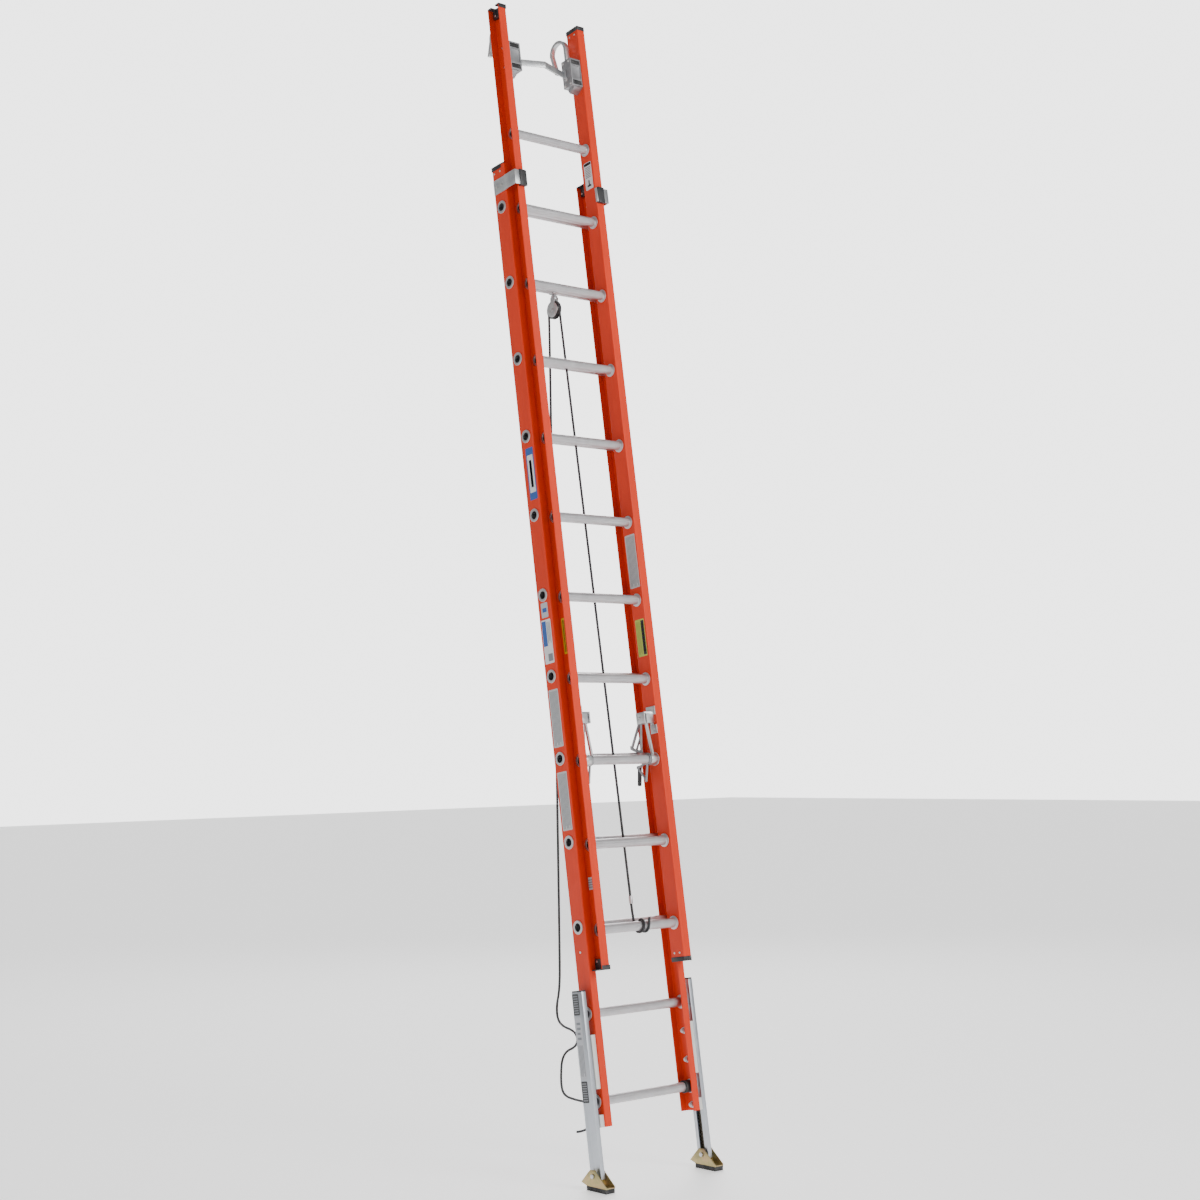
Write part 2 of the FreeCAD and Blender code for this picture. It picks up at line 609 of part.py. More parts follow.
# ---------------------------------------------------------------- rivets
def rivet(name, sign, y, z, inner, outer):
    """A shank through the pieces it joins, with a low head at each end."""
    shankMiddle, length = span(inner, outer)
    parts = [rod(name + "_shank", (sign * shankMiddle, y, z), D["rivetRadius"], length),
             rod(name + "_head", (sign * (outer + 1), y, z), 4.5, 2.0),
             rod(name + "_tail", (sign * (inner - 1), y, z), 4.0, 2.0)]
    return fuse(name, parts)


rivets = []
for side, sign in SIDES:
    stacks = [(baseInner - 12, D["baseHalf"])] * 2 + [(baseInner, D["baseHalf"] + 3)] * 2
    stacks += [(baseInner, D["baseHalf"])]
    for i, ((y, z), (inner, outer)) in enumerate(zip(baseRivets, stacks)):
        rivets.append(rivet("baseRivet_%s%d" % (side, i), sign, y, z, inner, outer))
leaned("base_rivets", rivets)
rivets = []
for side, sign in SIDES:
    stacks = [(D["flyHalf"], D["flyHalf"] + 16)] * 2
    stacks += [None] * 2
    stacks += [(D["flyHalf"] - 3, flyOuter)] * 2 + [(D["flyHalf"], D["flyHalf"] + 16)] * 2
    for i, ((y, z), stack) in enumerate(zip(flyRivets, stacks)):
        name = "flyRivet_%s%d" % (side, i)
        if stack:
            rivets.append(rivet(name, sign, y, z, *stack))
            continue
        middle, length = span(D["flyHalf"] - 14, flyOuter)
        rivets.append(fuse(name, [rod(name + "_shank", (sign * middle, y, z), D["rivetRadius"], length),
                                  rod(name + "_head", (sign * (flyOuter + 1), y, z), 4.5, 2.0)]))
leaned("fly_rivets", rivets)

# ---------------------------------------------------------------- levelers
pivotL = (D["pivotHeight"] - D["floorToRung"]) / math.cos(math.radians(SIZES["leanAngle"]))
legBottom = pivotL - 14
legOuter = D["legInner"] + D["legThick"]
halfDeep = D["legDepth"] / 2
pawlX, pawlZ = D["legInner"] + 2, 238.0
bolts = []
for side, sign in SIDES:
    guide = []
    for part, (low, high) in (("upper", (44.0, 231.0)), ("lower", (number(baseBottom), -45.0))):
        name = "leveler_%s_%s" % (side, part)
        z = (low, high)
        parts = [block(name + "_foot", sided(sign, D["baseHalf"], D["legInner"] - 3), (-30.0, 30.0), z),
                 block(name + "_neck", sided(sign, D["legInner"] - 3, D["legInner"] + 4), (-9.0, 9.0), z),
                 block(name + "_head", sided(sign, D["legInner"] + 4, D["legInner"] + 9), (-21.0, 21.0), z)]
        tools = []
        if part == "upper":
            parts += [block("%s_ear%d" % (name, i), sided(sign, D["legInner"] - 3, D["legInner"] + 7), y,
                            (high, high + 13)) for i, y in enumerate(((-9.0, -6.4), (6.4, 9.0)))]
            tools = [rod(name + "_pivot", (sign * pawlX, 0, pawlZ), 2.0 + FIT, 24.0, "Y")]
        solid = fuse(name + "_solid", parts)
        tools += [rod("%s_bolt%d" % (name, i), (sign * (D["baseHalf"] + 8), 0, z), 5.0, 20.0)
                 for i, z in enumerate(GUIDE_BOLTS) if low < z < high]
        guide.append(cut(name, solid, tools))
    leaned("leveler_guide_" + side, guide)

    x = [D["legInner"], D["legInner"] + 3, legOuter - D["legWall"], legOuter]
    deep, wall, lip = halfDeep, D["legWall"], 12.0
    points = [(x[0], -deep), (x[3], -deep), (x[3], deep), (x[0], deep), (x[0], lip), (x[1], lip),
              (x[1], deep - wall), (x[2], deep - wall), (x[2], wall - deep), (x[1], wall - deep),
              (x[1], -lip), (x[0], -lip)]
    channel = padded("leg_%s_channel" % side, "XY_Plane", [(sign * u, v) for u, v in points],
                     D["legTop"] - legBottom, (0, 0, legBottom))
    lean(cut("leg_%s_bored" % side, channel,
             [rod("leg_%s_bore" % side, (sign * (D["legInner"] + 9), 0, pivotL), 5.0, 30.0)]), "leg_" + side)
    lid = block("legCap_%s_lid" % side, sided(sign, D["legInner"], legOuter), (-halfDeep, halfDeep),
                (D["legTop"], D["legTop"] + 5))
    plug = block("legCap_%s_plug" % side, sided(sign, x[1] + 1, x[2] - 4.5),
                 (-halfDeep + wall + 1, halfDeep - wall - 1), (D["legTop"] - 16, D["legTop"]))
    lean(fuse("legCap_" + side, [lid, plug]), "leg_cap_" + side)

    # shoe pivot: a pin with a spacer on each side of the leg, and a block inside the leg's foot
    across = (D["shoeMiddle"] - D["shoeWidth"] / 2 - 2, D["shoeMiddle"] + D["shoeWidth"] / 2 + 2)
    middle, length = span(*across)
    inner, innerLength = span(D["shoeMiddle"] - D["shoeWidth"] / 2 + 3.3, D["legInner"] - 0.1)
    outer, outerLength = span(legOuter + 0.1, D["shoeMiddle"] + D["shoeWidth"] / 2 - 3.3)
    parts = [rod("pin_%s_core" % side, (sign * middle, 0, pivotL), 4.95, length),
             rod("pin_%s_spacer1" % side, (sign * inner, 0, pivotL), 10.0, innerLength),
             rod("pin_%s_spacer2" % side, (sign * outer, 0, pivotL), 10.0, outerLength),
             rod("pin_%s_head1" % side, (sign * (across[0] - 1.5), 0, pivotL), 8.0, 3.0),
             rod("pin_%s_head2" % side, (sign * (across[1] + 1.5), 0, pivotL), 8.0, 3.0)]
    lean(fuse("pin_" + side, parts), "shoe_pin_" + side)

    for i, z in enumerate(GUIDE_BOLTS):
        name = "bolt_%s%d" % (side, i)
        nut = doc.addObject("Part::Prism", name + "_nut")
        nut.Polygon = 6
        nut.Circumradius = 9.5
        nut.Height = 8
        low = (baseInner - 10) if sign > 0 else -(baseInner - 2)
        place(nut, (low, 0, z), TURN["X"])
        shankMiddle, length = span(baseInner - 14, D["baseHalf"] + 17)
        washer, washerLength = span(baseInner - 2, baseInner)
        bolts.append(fuse(name, [nut,
                                 rod(name + "_washer", (sign * washer, 0, z), 12.0, washerLength),
                                 rod(name + "_shank", (sign * shankMiddle, 0, z), 5.0, length)]))
leaned("leveler_bolts", bolts)


def toothed(name, sign):
    """A rack strip with saw teeth facing the middle of the ladder."""
    toothPitch = 12.7
    back = stated("legInner") + stated("legThick") - stated("legWall")
    tip, root = back - 4.4, back - 2.2
    low, high = number(pivotL) + 20, stated("legTop") - 20
    count = int((high - low) / toothPitch)
    line = [Vector(sign * back, 0, low)]
    for i in range(count):
        z = low + i * toothPitch
        line += [Vector(sign * root, 0, z), Vector(sign * tip, 0, z + 3), Vector(sign * tip, 0, z + 8),
                 Vector(sign * root, 0, z + 8.2)]
    line += [Vector(sign * back, 0, low + count * toothPitch)]
    face = Part.Face(Part.makePolygon(line + line[:1]))
    rack = doc.addObject("Part::Feature", name)
    rack.Shape = face.extrude(Vector(0, 16, 0)).translated(Vector(0, -8, 0))
    return rack


for side, sign in SIDES:
    lean(toothed("rack_" + side, sign), "leg_rack_" + side)
    # spring pawl between the ears of the upper guide, with its tip in the rack
    parts = [rod("pawl_%s_eye" % side, (sign * pawlX, 0, pawlZ), 5.0, 12.0, "Y"),
             rod("pawl_%s_pin" % side, (sign * pawlX, 0, pawlZ), 2.0, 17.6, "Y"),
             block("pawl_%s_arm" % side, sided(sign, D["legInner"] - 1, D["legInner"] + 5), (-6.0, 6.0),
                   (pawlZ, pawlZ + 22)),
             block("pawl_%s_tip" % side, sided(sign, D["legInner"] - 1, D["legInner"] + 9), (-6.0, 6.0),
                   (pawlZ + 15, pawlZ + 22))]
    lean(fuse("pawl_" + side, parts), "leveler_pawl_" + side)


# ---------------------------------------------------------------- shoes, drawn level about their pivots
def level(piece, label):
    """Gives a finished piece its name and sets it level, with its frame at the shoe pivot."""
    drop = number(pivotL)
    angle = math.radians(SIZES["leanAngle"])
    piece.Label = label
    piece.Placement = Placement(Vector(0, drop * math.sin(angle) - SIZES["standBack"],
                                       SIZES["pivotHeight"]), Rotation())
    bind(piece, "Placement.Base.y", pivotL * math.sin(angle) - D["standBack"])
    bind(piece, "Placement.Base.z", D["pivotHeight"])
    NODES.append(piece)


soleZ = D["padThick"] - D["pivotHeight"]
for side, sign in SIDES:
    low, high = D["shoeMiddle"] - D["shoeWidth"] / 2, D["shoeMiddle"] + D["shoeWidth"] / 2
    profile = [(-D["padFront"] - 2, soleZ), (D["padRear"], soleZ), (62.0, soleZ + 9), (26.0, 10.0),
               (13.0, 21.0), (-11.0, 22.0), (-24.0, 10.0), (-D["padFront"] - 2, soleZ + 7)]
    cheeks = []
    for which, x in (("near", (low, low + 3)), ("far", (high - 3, high))):
        start = x[0] if sign > 0 else -x[1]
        cheeks.append(padded("shoe_%s_%s" % (side, which), "YZ_Plane", profile, x[1] - x[0], (start, 0, 0)))
    plate = block("shoe_%s_plate" % side, sided(sign, low, high), (-D["padFront"], D["padRear"]),
                  (soleZ, soleZ + 3))
    solid = fuse("shoe_%s_solid" % side, cheeks + [plate])
    middle, length = span(low - 2, high + 2)
    level(cut("shoe_%s_bored" % side, solid,
              [rod("shoe_%s_bore" % side, (sign * middle, 0, 0), 5.0, length)]), "shoe_" + side)
    sole = block("pad_%s_sole" % side, sided(sign, low, high), (-D["padFront"], D["padRear"]),
                 (-D["pivotHeight"], soleZ))
    grooves = [block("pad_%s_groove%d" % (side, i), sided(sign, low - 1, high + 1),
                     (-D["padFront"] + 9 + 13.0 * i, -D["padFront"] + 13 + 13.0 * i),
                     (-D["pivotHeight"] - 1, -D["pivotHeight"] + 7)) for i in range(7)]
    level(cut("pad_" + side, sole, grooves), "shoe_pad_" + side)

# ---------------------------------------------------------------- pulley
pulleyX, pulleyY = -14.0, 8.5
pulleyZ = baseRungZ(PULLEY_RUNG) - 78
rungZ = baseRungZ(PULLEY_RUNG)
band = rod("clamp_band", (pulleyX, 0, rungZ), D["rungRadius"] + 3, 24.0)
lug = block("clamp_lug", (pulleyX - 5, pulleyX + 5), (-9.0, 9.0), (rungZ - 41, rungZ - 10))
lean(cut("clamp", fuse("clamp_solid", [band, lug]),
         [rod("clamp_hole", (pulleyX, 0, rungZ), D["rungRadius"], 30.0),
          rod("clamp_eye", (pulleyX, 0, rungZ - 31), 3.0, 20.0)]), "pulley_clamp")
cheeks = []
for index, middle in enumerate((pulleyX - 9.25, pulleyX + 9.25)):
    name = "cheek%d" % index
    disc = rod(name + "_disc", (middle, pulleyY, pulleyZ), 30.0, 2.5)
    neck = bar(name + "_neck", (middle - 1.25, middle + 1.25), (pulleyY, pulleyZ), (0.0, rungZ - 31), 24.0)
    top = rod(name + "_top", (middle, 0, rungZ - 31), 9.0, 2.5)
    cheeks.append(cut(name, fuse(name + "_solid", [disc, neck, top]),
                      [rod(name + "_axle", (middle, pulleyY, pulleyZ), 4.0, 6.0),
                       rod(name + "_eye", (middle, 0, rungZ - 31), 3.0, 6.0)]))
leaned("pulley_block", cheeks)
leaned("pulley_pins", [
    fuse("axle", [rod("axle_shank", (pulleyX, pulleyY, pulleyZ), 4.0, 21.0),
                  rod("axle_head1", (pulleyX - 11.75, pulleyY, pulleyZ), 6.5, 2.5),
                  rod("axle_head2", (pulleyX + 11.75, pulleyY, pulleyZ), 6.5, 2.5)]),
    fuse("eyeBolt", [rod("eyeBolt_shank", (pulleyX, 0, rungZ - 31), 3.0, 21.0),
                     rod("eyeBolt_head1", (pulleyX - 11.75, 0, rungZ - 31), 5.5, 2.5),
                     rod("eyeBolt_head2", (pulleyX + 11.75, 0, rungZ - 31), 5.5, 2.5)])])
grooveRadius = D["sheavePitch"] - D["ropeRadius"] - GAP
wheel = rod("sheave_wheel", (pulleyX, pulleyY, pulleyZ), D["sheavePitch"] + 5, 15.0)
slim = rod("sheave_slim", (pulleyX, pulleyY, pulleyZ), D["sheavePitch"] + 7, 11.0)
core = rod("sheave_core", (pulleyX, pulleyY, pulleyZ), grooveRadius, 13.0)
groove = cut("sheave_groove", slim, [core])
lean(cut("sheave", wheel, [groove, rod("sheave_bore", (pulleyX, pulleyY, pulleyZ), 4.05, 20.0)]),
     "pulley_sheave")

# ---------------------------------------------------------------- rope
ropeRadius = stated("ropeRadius")
tilt = math.radians(stated("leanAngle"))


def hung(x, y, height):
    """A point given level: y behind the lowest base rung's axis, height above the floor."""
    up = height - stated("floorToRung")
    return Vector(x, y * math.cos(tilt) - up * math.sin(tilt), y * math.sin(tilt) + up * math.cos(tilt))


def cord(name, route, radii=None):
    """A round cord: straight runs joined by tangent arcs. radii gives an arc its size by corner number."""
    radii = radii or {}
    edges, here, bends = [], route[0], []
    for i in range(1, len(route) - 1):
        before, after = route[i] - route[i - 1], route[i + 1] - route[i]
        turn = before.getAngle(after)
        short = min(before.Length, after.Length)
        radius = radii.get(i, 0.45 * short / math.tan(turn / 2))
        back = radius * math.tan(turn / 2)
        before.normalize()
        after.normalize()
        start, end = route[i] - before * back, route[i] + after * back
        inward = after - before
        inward.normalize()
        middle = route[i] + inward * (radius / math.cos(turn / 2) - radius)
        if (start - here).Length > 1e-4:
            edges.append(Part.LineSegment(here, start).toShape())
        edges.append(Part.Arc(start, middle, end).toShape())
        here = end
        bends.append(round(radius, 1))
    edges.append(Part.LineSegment(here, route[-1]).toShape())
    wire = Part.Wire(edges)
    tangent = route[1] - route[0]
    ring = Part.Wire(Part.Circle(route[0], tangent, ropeRadius).toShape())
    tube = wire.makePipeShell([ring], True, False)
    want = wire.Length * math.pi * ropeRadius ** 2
    print(name, "length", round(wire.Length, 1), "volume over length times section",
          round(tube.Volume / want, 5), "arc radii", bends)
    piece = doc.addObject("Part::Feature", name)
    piece.Shape = tube
    return piece


# down the front of the pulley to the ferrule, taut
frontTangent = Vector(pulleyX, pulleyY - stated("sheavePitch"), number(pulleyZ))
tieX, tieRadius = 2.0, stated("rungRadius") + ropeRadius + 0.1
tieY, tieZ = -stated("flyForward") + tieRadius, number(flyRungZ(1)) + 83
ferruleTop = tieZ + 28
lean(cord("strand", [Vector(tieX, tieY, ferruleTop), frontTangent]), "rope_hauling")
leaned("rope_ferrule", [rod("ferrule", (tieX, tieY, (tieZ + ferruleTop) / 2), 7.0, 28.0, "Z")])

# one and a half turns round the lowest fly rung
turns, stepAngle, advance = 9, 60, 4.3
route = [Vector(tieX, tieY, tieZ)]
for i in range(turns):
    angle = math.radians(-stepAngle * (i + 0.5))
    reach = tieRadius / math.cos(math.radians(stepAngle / 2))
    route.append(Vector(tieX + advance * (i + 0.5), -stated("flyForward") + reach * math.cos(angle),
                        number(flyRungZ(1)) + reach * math.sin(angle)))
route.append(route[-1] + Vector(advance, 0, 40))
lean(cord("tie", route), "rope_tie")

# over the pulley, then plumb down behind the ladder to a curl that hangs clear of the floor
wrap = 180 + SIZES["leanAngle"]
corners = 3
pulleyRoute = [frontTangent]
reach = stated("sheavePitch") / math.cos(math.radians(wrap / corners / 2))
for i in range(corners):
    angle = math.radians(180 - wrap * (i + 0.5) / corners)
    pulleyRoute.append(Vector(pulleyX, pulleyY + reach * math.cos(angle),
                              number(pulleyZ) + reach * math.sin(angle)))
leave = math.radians(180 - wrap)
rearTangent = Vector(pulleyX, pulleyY + stated("sheavePitch") * math.cos(leave),
                     number(pulleyZ) + stated("sheavePitch") * math.sin(leave))
plumb = Vector(0, math.sin(tilt), -math.cos(tilt))
HANG = [
    (-13.6, 453.0, 2400), (-13.0, 453.4, 1650), (-13.6, 452.8, 1100), (-14.0, 453.0, 760),
    (-16.0, 453.0, 640), (-34.0, 456.0, 560), (-14.0, 461.0, 500), (66.0, 458.0, 468),
    (66.0, 448.0, 416), (-16.0, 444.0, 398), (-22.0, 450.0, 300), (-6.0, 456.0, 238),
    (60.0, 459.0, 212), (112.0, 455.0, 198), (134.0, 450.0, 146), (112.0, 447.0, 92), (54.0, 450.0, 95),
]
route = pulleyRoute + [rearTangent + plumb * 19.5] + [hung(*point) for point in HANG]
lean(cord("free", route, {i: stated("sheavePitch") for i in range(1, corners + 1)}), "rope_free")

# ---------------------------------------------------------------- check and write
doc.recompute()
for obj in doc.Objects:
    if "Invalid" in obj.State or "Error" in obj.State:
        raise RuntimeError("%s %s" % (obj.Label, obj.State))
os.makedirs("parts", exist_ok=True)
box = FreeCAD.BoundBox()
for node in NODES:
    if node.Shape.isNull() or not node.Shape.isValid():
        raise RuntimeError(node.Label)
    box.add(node.Shape.BoundBox)
    node.Shape.exportStep("parts/%s.step" % node.Label)
print(len(NODES), "pieces", "bounds", [round(v, 1) for v in
      (box.XMin, box.XMax, box.YMin, box.YMax, box.ZMin, box.ZMax)])
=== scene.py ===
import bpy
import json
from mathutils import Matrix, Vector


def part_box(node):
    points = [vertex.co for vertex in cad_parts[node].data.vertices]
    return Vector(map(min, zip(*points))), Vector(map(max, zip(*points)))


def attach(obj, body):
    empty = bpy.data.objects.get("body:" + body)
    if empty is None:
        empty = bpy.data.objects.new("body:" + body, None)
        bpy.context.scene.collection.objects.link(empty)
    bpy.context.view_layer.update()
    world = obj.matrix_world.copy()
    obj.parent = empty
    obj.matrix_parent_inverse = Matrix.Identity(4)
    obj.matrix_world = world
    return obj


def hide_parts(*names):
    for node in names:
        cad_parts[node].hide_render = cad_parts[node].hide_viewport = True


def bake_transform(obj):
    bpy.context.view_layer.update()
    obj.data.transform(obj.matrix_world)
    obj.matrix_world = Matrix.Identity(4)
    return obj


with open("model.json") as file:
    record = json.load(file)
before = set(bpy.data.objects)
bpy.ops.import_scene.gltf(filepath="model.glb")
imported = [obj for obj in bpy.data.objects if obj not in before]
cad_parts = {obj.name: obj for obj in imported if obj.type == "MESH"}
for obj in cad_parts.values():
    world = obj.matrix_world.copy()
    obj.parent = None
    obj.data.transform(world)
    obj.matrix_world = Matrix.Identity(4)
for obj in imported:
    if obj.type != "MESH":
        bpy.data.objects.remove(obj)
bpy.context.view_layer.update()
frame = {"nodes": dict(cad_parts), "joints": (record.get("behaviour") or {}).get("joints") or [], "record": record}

import json
import math

import bmesh
import bpy
from mathutils import Matrix, Vector

print("frame loaded")


# places and directions of the ladder, read from the frame
def middleOf(node):
    low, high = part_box(node)
    return (Vector(low) + Vector(high)) / 2


def jointCalled(name):
    return next(joint for joint in frame["joints"] if joint["name"] == name)


slideAxis = jointCalled("fly_slide")["axis"]
leanAngle = math.atan2(slideAxis[1], slideAxis[2])
rungOne = middleOf("rung_sleeves")
# the ladder's own frame: x across, y to the back, z along the rails, from the lowest base rung
toRow = Matrix.Translation(rungOne) @ Matrix.Rotation(-leanAngle, 4, "X")
fromRow = toRow.inverted()
ladder = {
    "pitch": 0.3048, "baseRungs": 12, "flyRungs": 11, "flyOffset": 2, "flyDrop": 0.016,
    "flyForward": 0.060, "baseHalf": 0.2286, "baseWall": 0.004, "flyHalf": 0.181, "flyWall": 0.0035,
    "rungRadius": 0.0175, "rungBore": 0.0155, "beadRadius": 0.025, "beadThick": 0.003}
sides = (("left", -1), ("right", 1))


def baseRungZ(n):
    return ladder["pitch"] * (n - 1)


def flyRungZ(n):
    return ladder["pitch"] * (n - 1 + ladder["flyOffset"]) - ladder["flyDrop"]


# camera first, then floor and lights
view = {"behindRungOne": (-4.8149, -5.3847, 1.2289), "yaw": 40.78, "pitch": 4.41, "roll": -1.05,
        "lens": 59.16, "sensor": 36.0}


def addCamera():
    yaw, pitch, roll = (math.radians(view[key]) for key in ("yaw", "pitch", "roll"))
    forward = Vector((math.sin(yaw) * math.cos(pitch), math.cos(yaw) * math.cos(pitch), math.sin(pitch)))
    flat = Vector((math.cos(yaw), -math.sin(yaw), 0))
    above = flat.cross(forward)
    right = math.cos(roll) * flat + math.sin(roll) * above
    above = right.cross(forward)
    data = bpy.data.cameras.new("camera")
    data.lens = view["lens"]
    data.sensor_width = view["sensor"]
    camera = bpy.data.objects.new("camera", data)
    bpy.context.scene.collection.objects.link(camera)
    turn = Matrix((right, above, -forward)).transposed().to_4x4()
    camera.matrix_world = Matrix.Translation(rungOne + Vector(view["behindRungOne"])) @ turn
    bpy.context.scene.camera = camera


addCamera()

lights = {
    "key": {"place": (1.2, -7.5, 4.6), "size": 3.2, "power": 460, "aim": (0, 0, 2.0)},
    "side": {"place": (-7.0, -2.0, 3.4), "size": 4.5, "power": 55, "aim": (0, 0, 2.0)},
    "back": {"place": (4.5, 5.0, 5.5), "size": 4.0, "power": 260, "aim": (0, 0, 2.5)}}
surround = {"dim": 0.42, "bright": 3.4, "edge": 0.50, "full": 0.90}


def addLights():
    for name, spec in lights.items():
        data = bpy.data.lights.new(name, "AREA")
        data.size = spec["size"]
        data.energy = spec["power"]
        lamp = bpy.data.objects.new(name, data)
        bpy.context.scene.collection.objects.link(lamp)
        lamp.location = spec["place"]
        lamp.rotation_euler = (Vector(spec["aim"]) - lamp.location).to_track_quat("-Z", "Y").to_euler()


# a dim room with one wide bright wall behind the ladder
def addSurround():
    world = bpy.data.worlds.new("studio")
    world.use_nodes = True
    tree = world.node_tree
    spot = tree.nodes.new("ShaderNodeTexCoord")
    facing = tree.nodes.new("ShaderNodeVectorMath")
    facing.operation = "DOT_PRODUCT"
    yaw = math.radians(view["yaw"])
    facing.inputs[1].default_value = (math.sin(yaw), math.cos(yaw), 0)
    strength = tree.nodes.new("ShaderNodeMapRange")
    strength.interpolation_type = "SMOOTHSTEP"
    for socket, value in ((1, "edge"), (2, "full"), (3, "dim"), (4, "bright")):
        strength.inputs[socket].default_value = surround[value]
    tree.links.new(spot.outputs["Generated"], facing.inputs[0])
    tree.links.new(facing.outputs["Value"], strength.inputs[0])
    tree.links.new(strength.outputs[0], tree.nodes["Background"].inputs["Strength"])
    tree.nodes["Background"].inputs["Color"].default_value = (1, 1, 1, 1)
    bpy.context.scene.world = world


addSurround()
addLights()
print("camera and lights placed")


# one output socket, so that a sum on it adds its Math node
class Flow:
    def __init__(self, finish, socket):
        self.finish = finish
        self.socket = socket

    def math(self, operation, first, second=0.0):
        return self.finish.add("ShaderNodeMath", {"operation": operation}, {0: first, 1: second})

    def __add__(self, other):
        return self.math("ADD", self, other)

    def __sub__(self, other):
        return self.math("SUBTRACT", self, other)

    def __rsub__(self, other):
        return self.math("SUBTRACT", other, self)

    def __mul__(self, other):
        return self.math("MULTIPLY", self, other)

    __radd__ = __add__
    __rmul__ = __mul__

    def between(self, low, high, least=0.0, most=1.0):
        return self.finish.add("ShaderNodeMapRange", {"clamp": True},
                               {0: self, 1: low, 2: high, 3: least, 4: most})


# a material and the few ways that nodes are added to it
class Finish:
    def __init__(self, name, **plain):
        self.material = bpy.data.materials.new(name)
        self.material.use_nodes = True
        self.tree = self.material.node_tree
        self.shader = self.tree.nodes["Principled BSDF"]
        for socket, value in plain.items():
            self.shader.inputs[socket.replace("_", " ")].default_value = value

    def add(self, kind, settings=None, values=None, out=0):
        node = self.tree.nodes.new(kind)
        for key, value in (settings or {}).items():
            if key == "stops":
                while len(node.color_ramp.elements) < len(value):
                    node.color_ramp.elements.new(0.5)
                for element, (position, colour) in zip(node.color_ramp.elements, value):
                    element.position = position
                    element.color = (*colour, 1)
            else:
                setattr(node, key, value)
        for key, value in (values or {}).items():
            if isinstance(value, Flow):
                self.tree.links.new(value.socket, node.inputs[key])
            else:
                node.inputs[key].default_value = value
        return Flow(self, node.outputs[out])

    def place(self, stretch=(1, 1, 1)):
        # the point in the ladder's own frame, in metres, so that grain runs along the rails
        spot = self.add("ShaderNodeTexCoord", out="Object")
        leaned = self.add("ShaderNodeMapping", {"vector_type": "POINT"},
                          {"Vector": spot, "Rotation": (leanAngle, 0, 0)})
        return self.add("ShaderNodeVectorMath", {"operation": "MULTIPLY"}, {0: leaned, 1: stretch})

    def grain(self, stretch, detail=3.0, roughness=0.55, scale=1.0):
        return self.add("ShaderNodeTexNoise", {}, {"Vector": self.place(stretch), "Scale": scale,
                                                  "Detail": detail, "Roughness": roughness})

    def mix(self, factor, first, second):
        return self.add("ShaderNodeMix", {"data_type": "RGBA"}, {"Factor": factor, 6: first, 7: second}, 2)

    def feed(self, **links):
        for socket, flow in links.items():
            self.tree.links.new(flow.socket, self.shader.inputs[socket.replace("_", " ")])
        return self

    def bump(self, height, strength, distance):
        normal = self.add("ShaderNodeBump", {}, {"Height": height, "Strength": strength,
                                                "Distance": distance}, "Normal")
        self.tree.links.new(normal.socket, self.shader.inputs["Normal"])
        return self


def shade(colour, amount):
    return (*(min(1.0, c * amount) for c in colour), 1)


# pultruded fibreglass: long fibres under a gel coat, a few scuffs
fibreglassLook = {"colour": (0.72, 0.036, 0.004), "dark": 0.80, "light": 1.10, "rough": 0.38,
                  "scuff": (0.72, 0.24, 0.14, 1)}


def fibreglass():
    look = fibreglassLook
    finish = Finish("fibreglass", Specular_IOR_Level=0.35)
    fibres = finish.grain((900, 900, 5), 4.0, 0.6)
    cloud = finish.grain((9, 9, 3), 3.0)
    colour = finish.mix(fibres.between(0.3, 0.7) * 0.6 + cloud.between(0.35, 0.65) * 0.4,
                        shade(look["colour"], look["dark"]), shade(look["colour"], look["light"]))
    scuff = finish.grain((120, 120, 14), 5.0, 0.7).between(0.66, 0.74)
    finish.feed(Base_Color=finish.mix(scuff * 0.22, colour, look["scuff"]),
                Roughness=look["rough"] + fibres.between(0.3, 0.7) * 0.10 + scuff * 0.2)
    return finish.bump(fibres * 0.6 + cloud, 0.35, 0.0005).material


# bare extruded aluminium: drawn lines along one axis, and handling marks
def drawnMetal(name, colour, lines, rough, metallic=1.0):
    finish = Finish(name, Metallic=metallic)
    drawn = finish.grain(lines, 3.0, 0.65)
    cloud = finish.grain((28, 28, 28), 4.0, 0.6)
    tone = drawn.between(0.3, 0.7) * 0.5 + cloud.between(0.3, 0.7) * 0.5
    finish.feed(Base_Color=finish.mix(tone, shade(colour, 0.84), shade(colour, 1.06)),
                Roughness=rough - 0.06 + tone * 0.14)
    return finish.bump(drawn, 0.25, 0.0002).material


# zinc or chromate plate over steel, with soft spangles
def platedMetal(name, colour, tints, rough):
    finish = Finish(name, Metallic=1.0)
    spangle = finish.add("ShaderNodeTexVoronoi", {}, {"Vector": finish.place((1, 1, 1)), "Scale": 160.0},
                         "Distance")
    cloud = finish.grain((34, 34, 34), 4.0, 0.6)
    tinted = finish.add("ShaderNodeValToRGB", {"stops": tints}, {"Fac": cloud}, "Color")
    plain = finish.mix(spangle.between(0.1, 0.6), shade(colour, 0.88), shade(colour, 1.08))
    finish.feed(Base_Color=finish.mix(0.5, plain, tinted),
                Roughness=rough + cloud.between(0.3, 0.7) * 0.14)
    return finish.bump(cloud, 0.12, 0.0003).material


def castMetal():
    colour = (0.36, 0.36, 0.37)
    finish = Finish("cast_metal", Metallic=0.9)
    sand = finish.grain((900, 900, 900), 3.0, 0.6)
    cloud = finish.grain((40, 40, 40), 4.0)
    finish.feed(Base_Color=finish.mix(cloud.between(0.3, 0.7), shade(colour, 0.78), shade(colour, 1.12)),
                Roughness=0.42 + sand.between(0.3, 0.7) * 0.16)
    return finish.bump(sand, 0.4, 0.0003).material


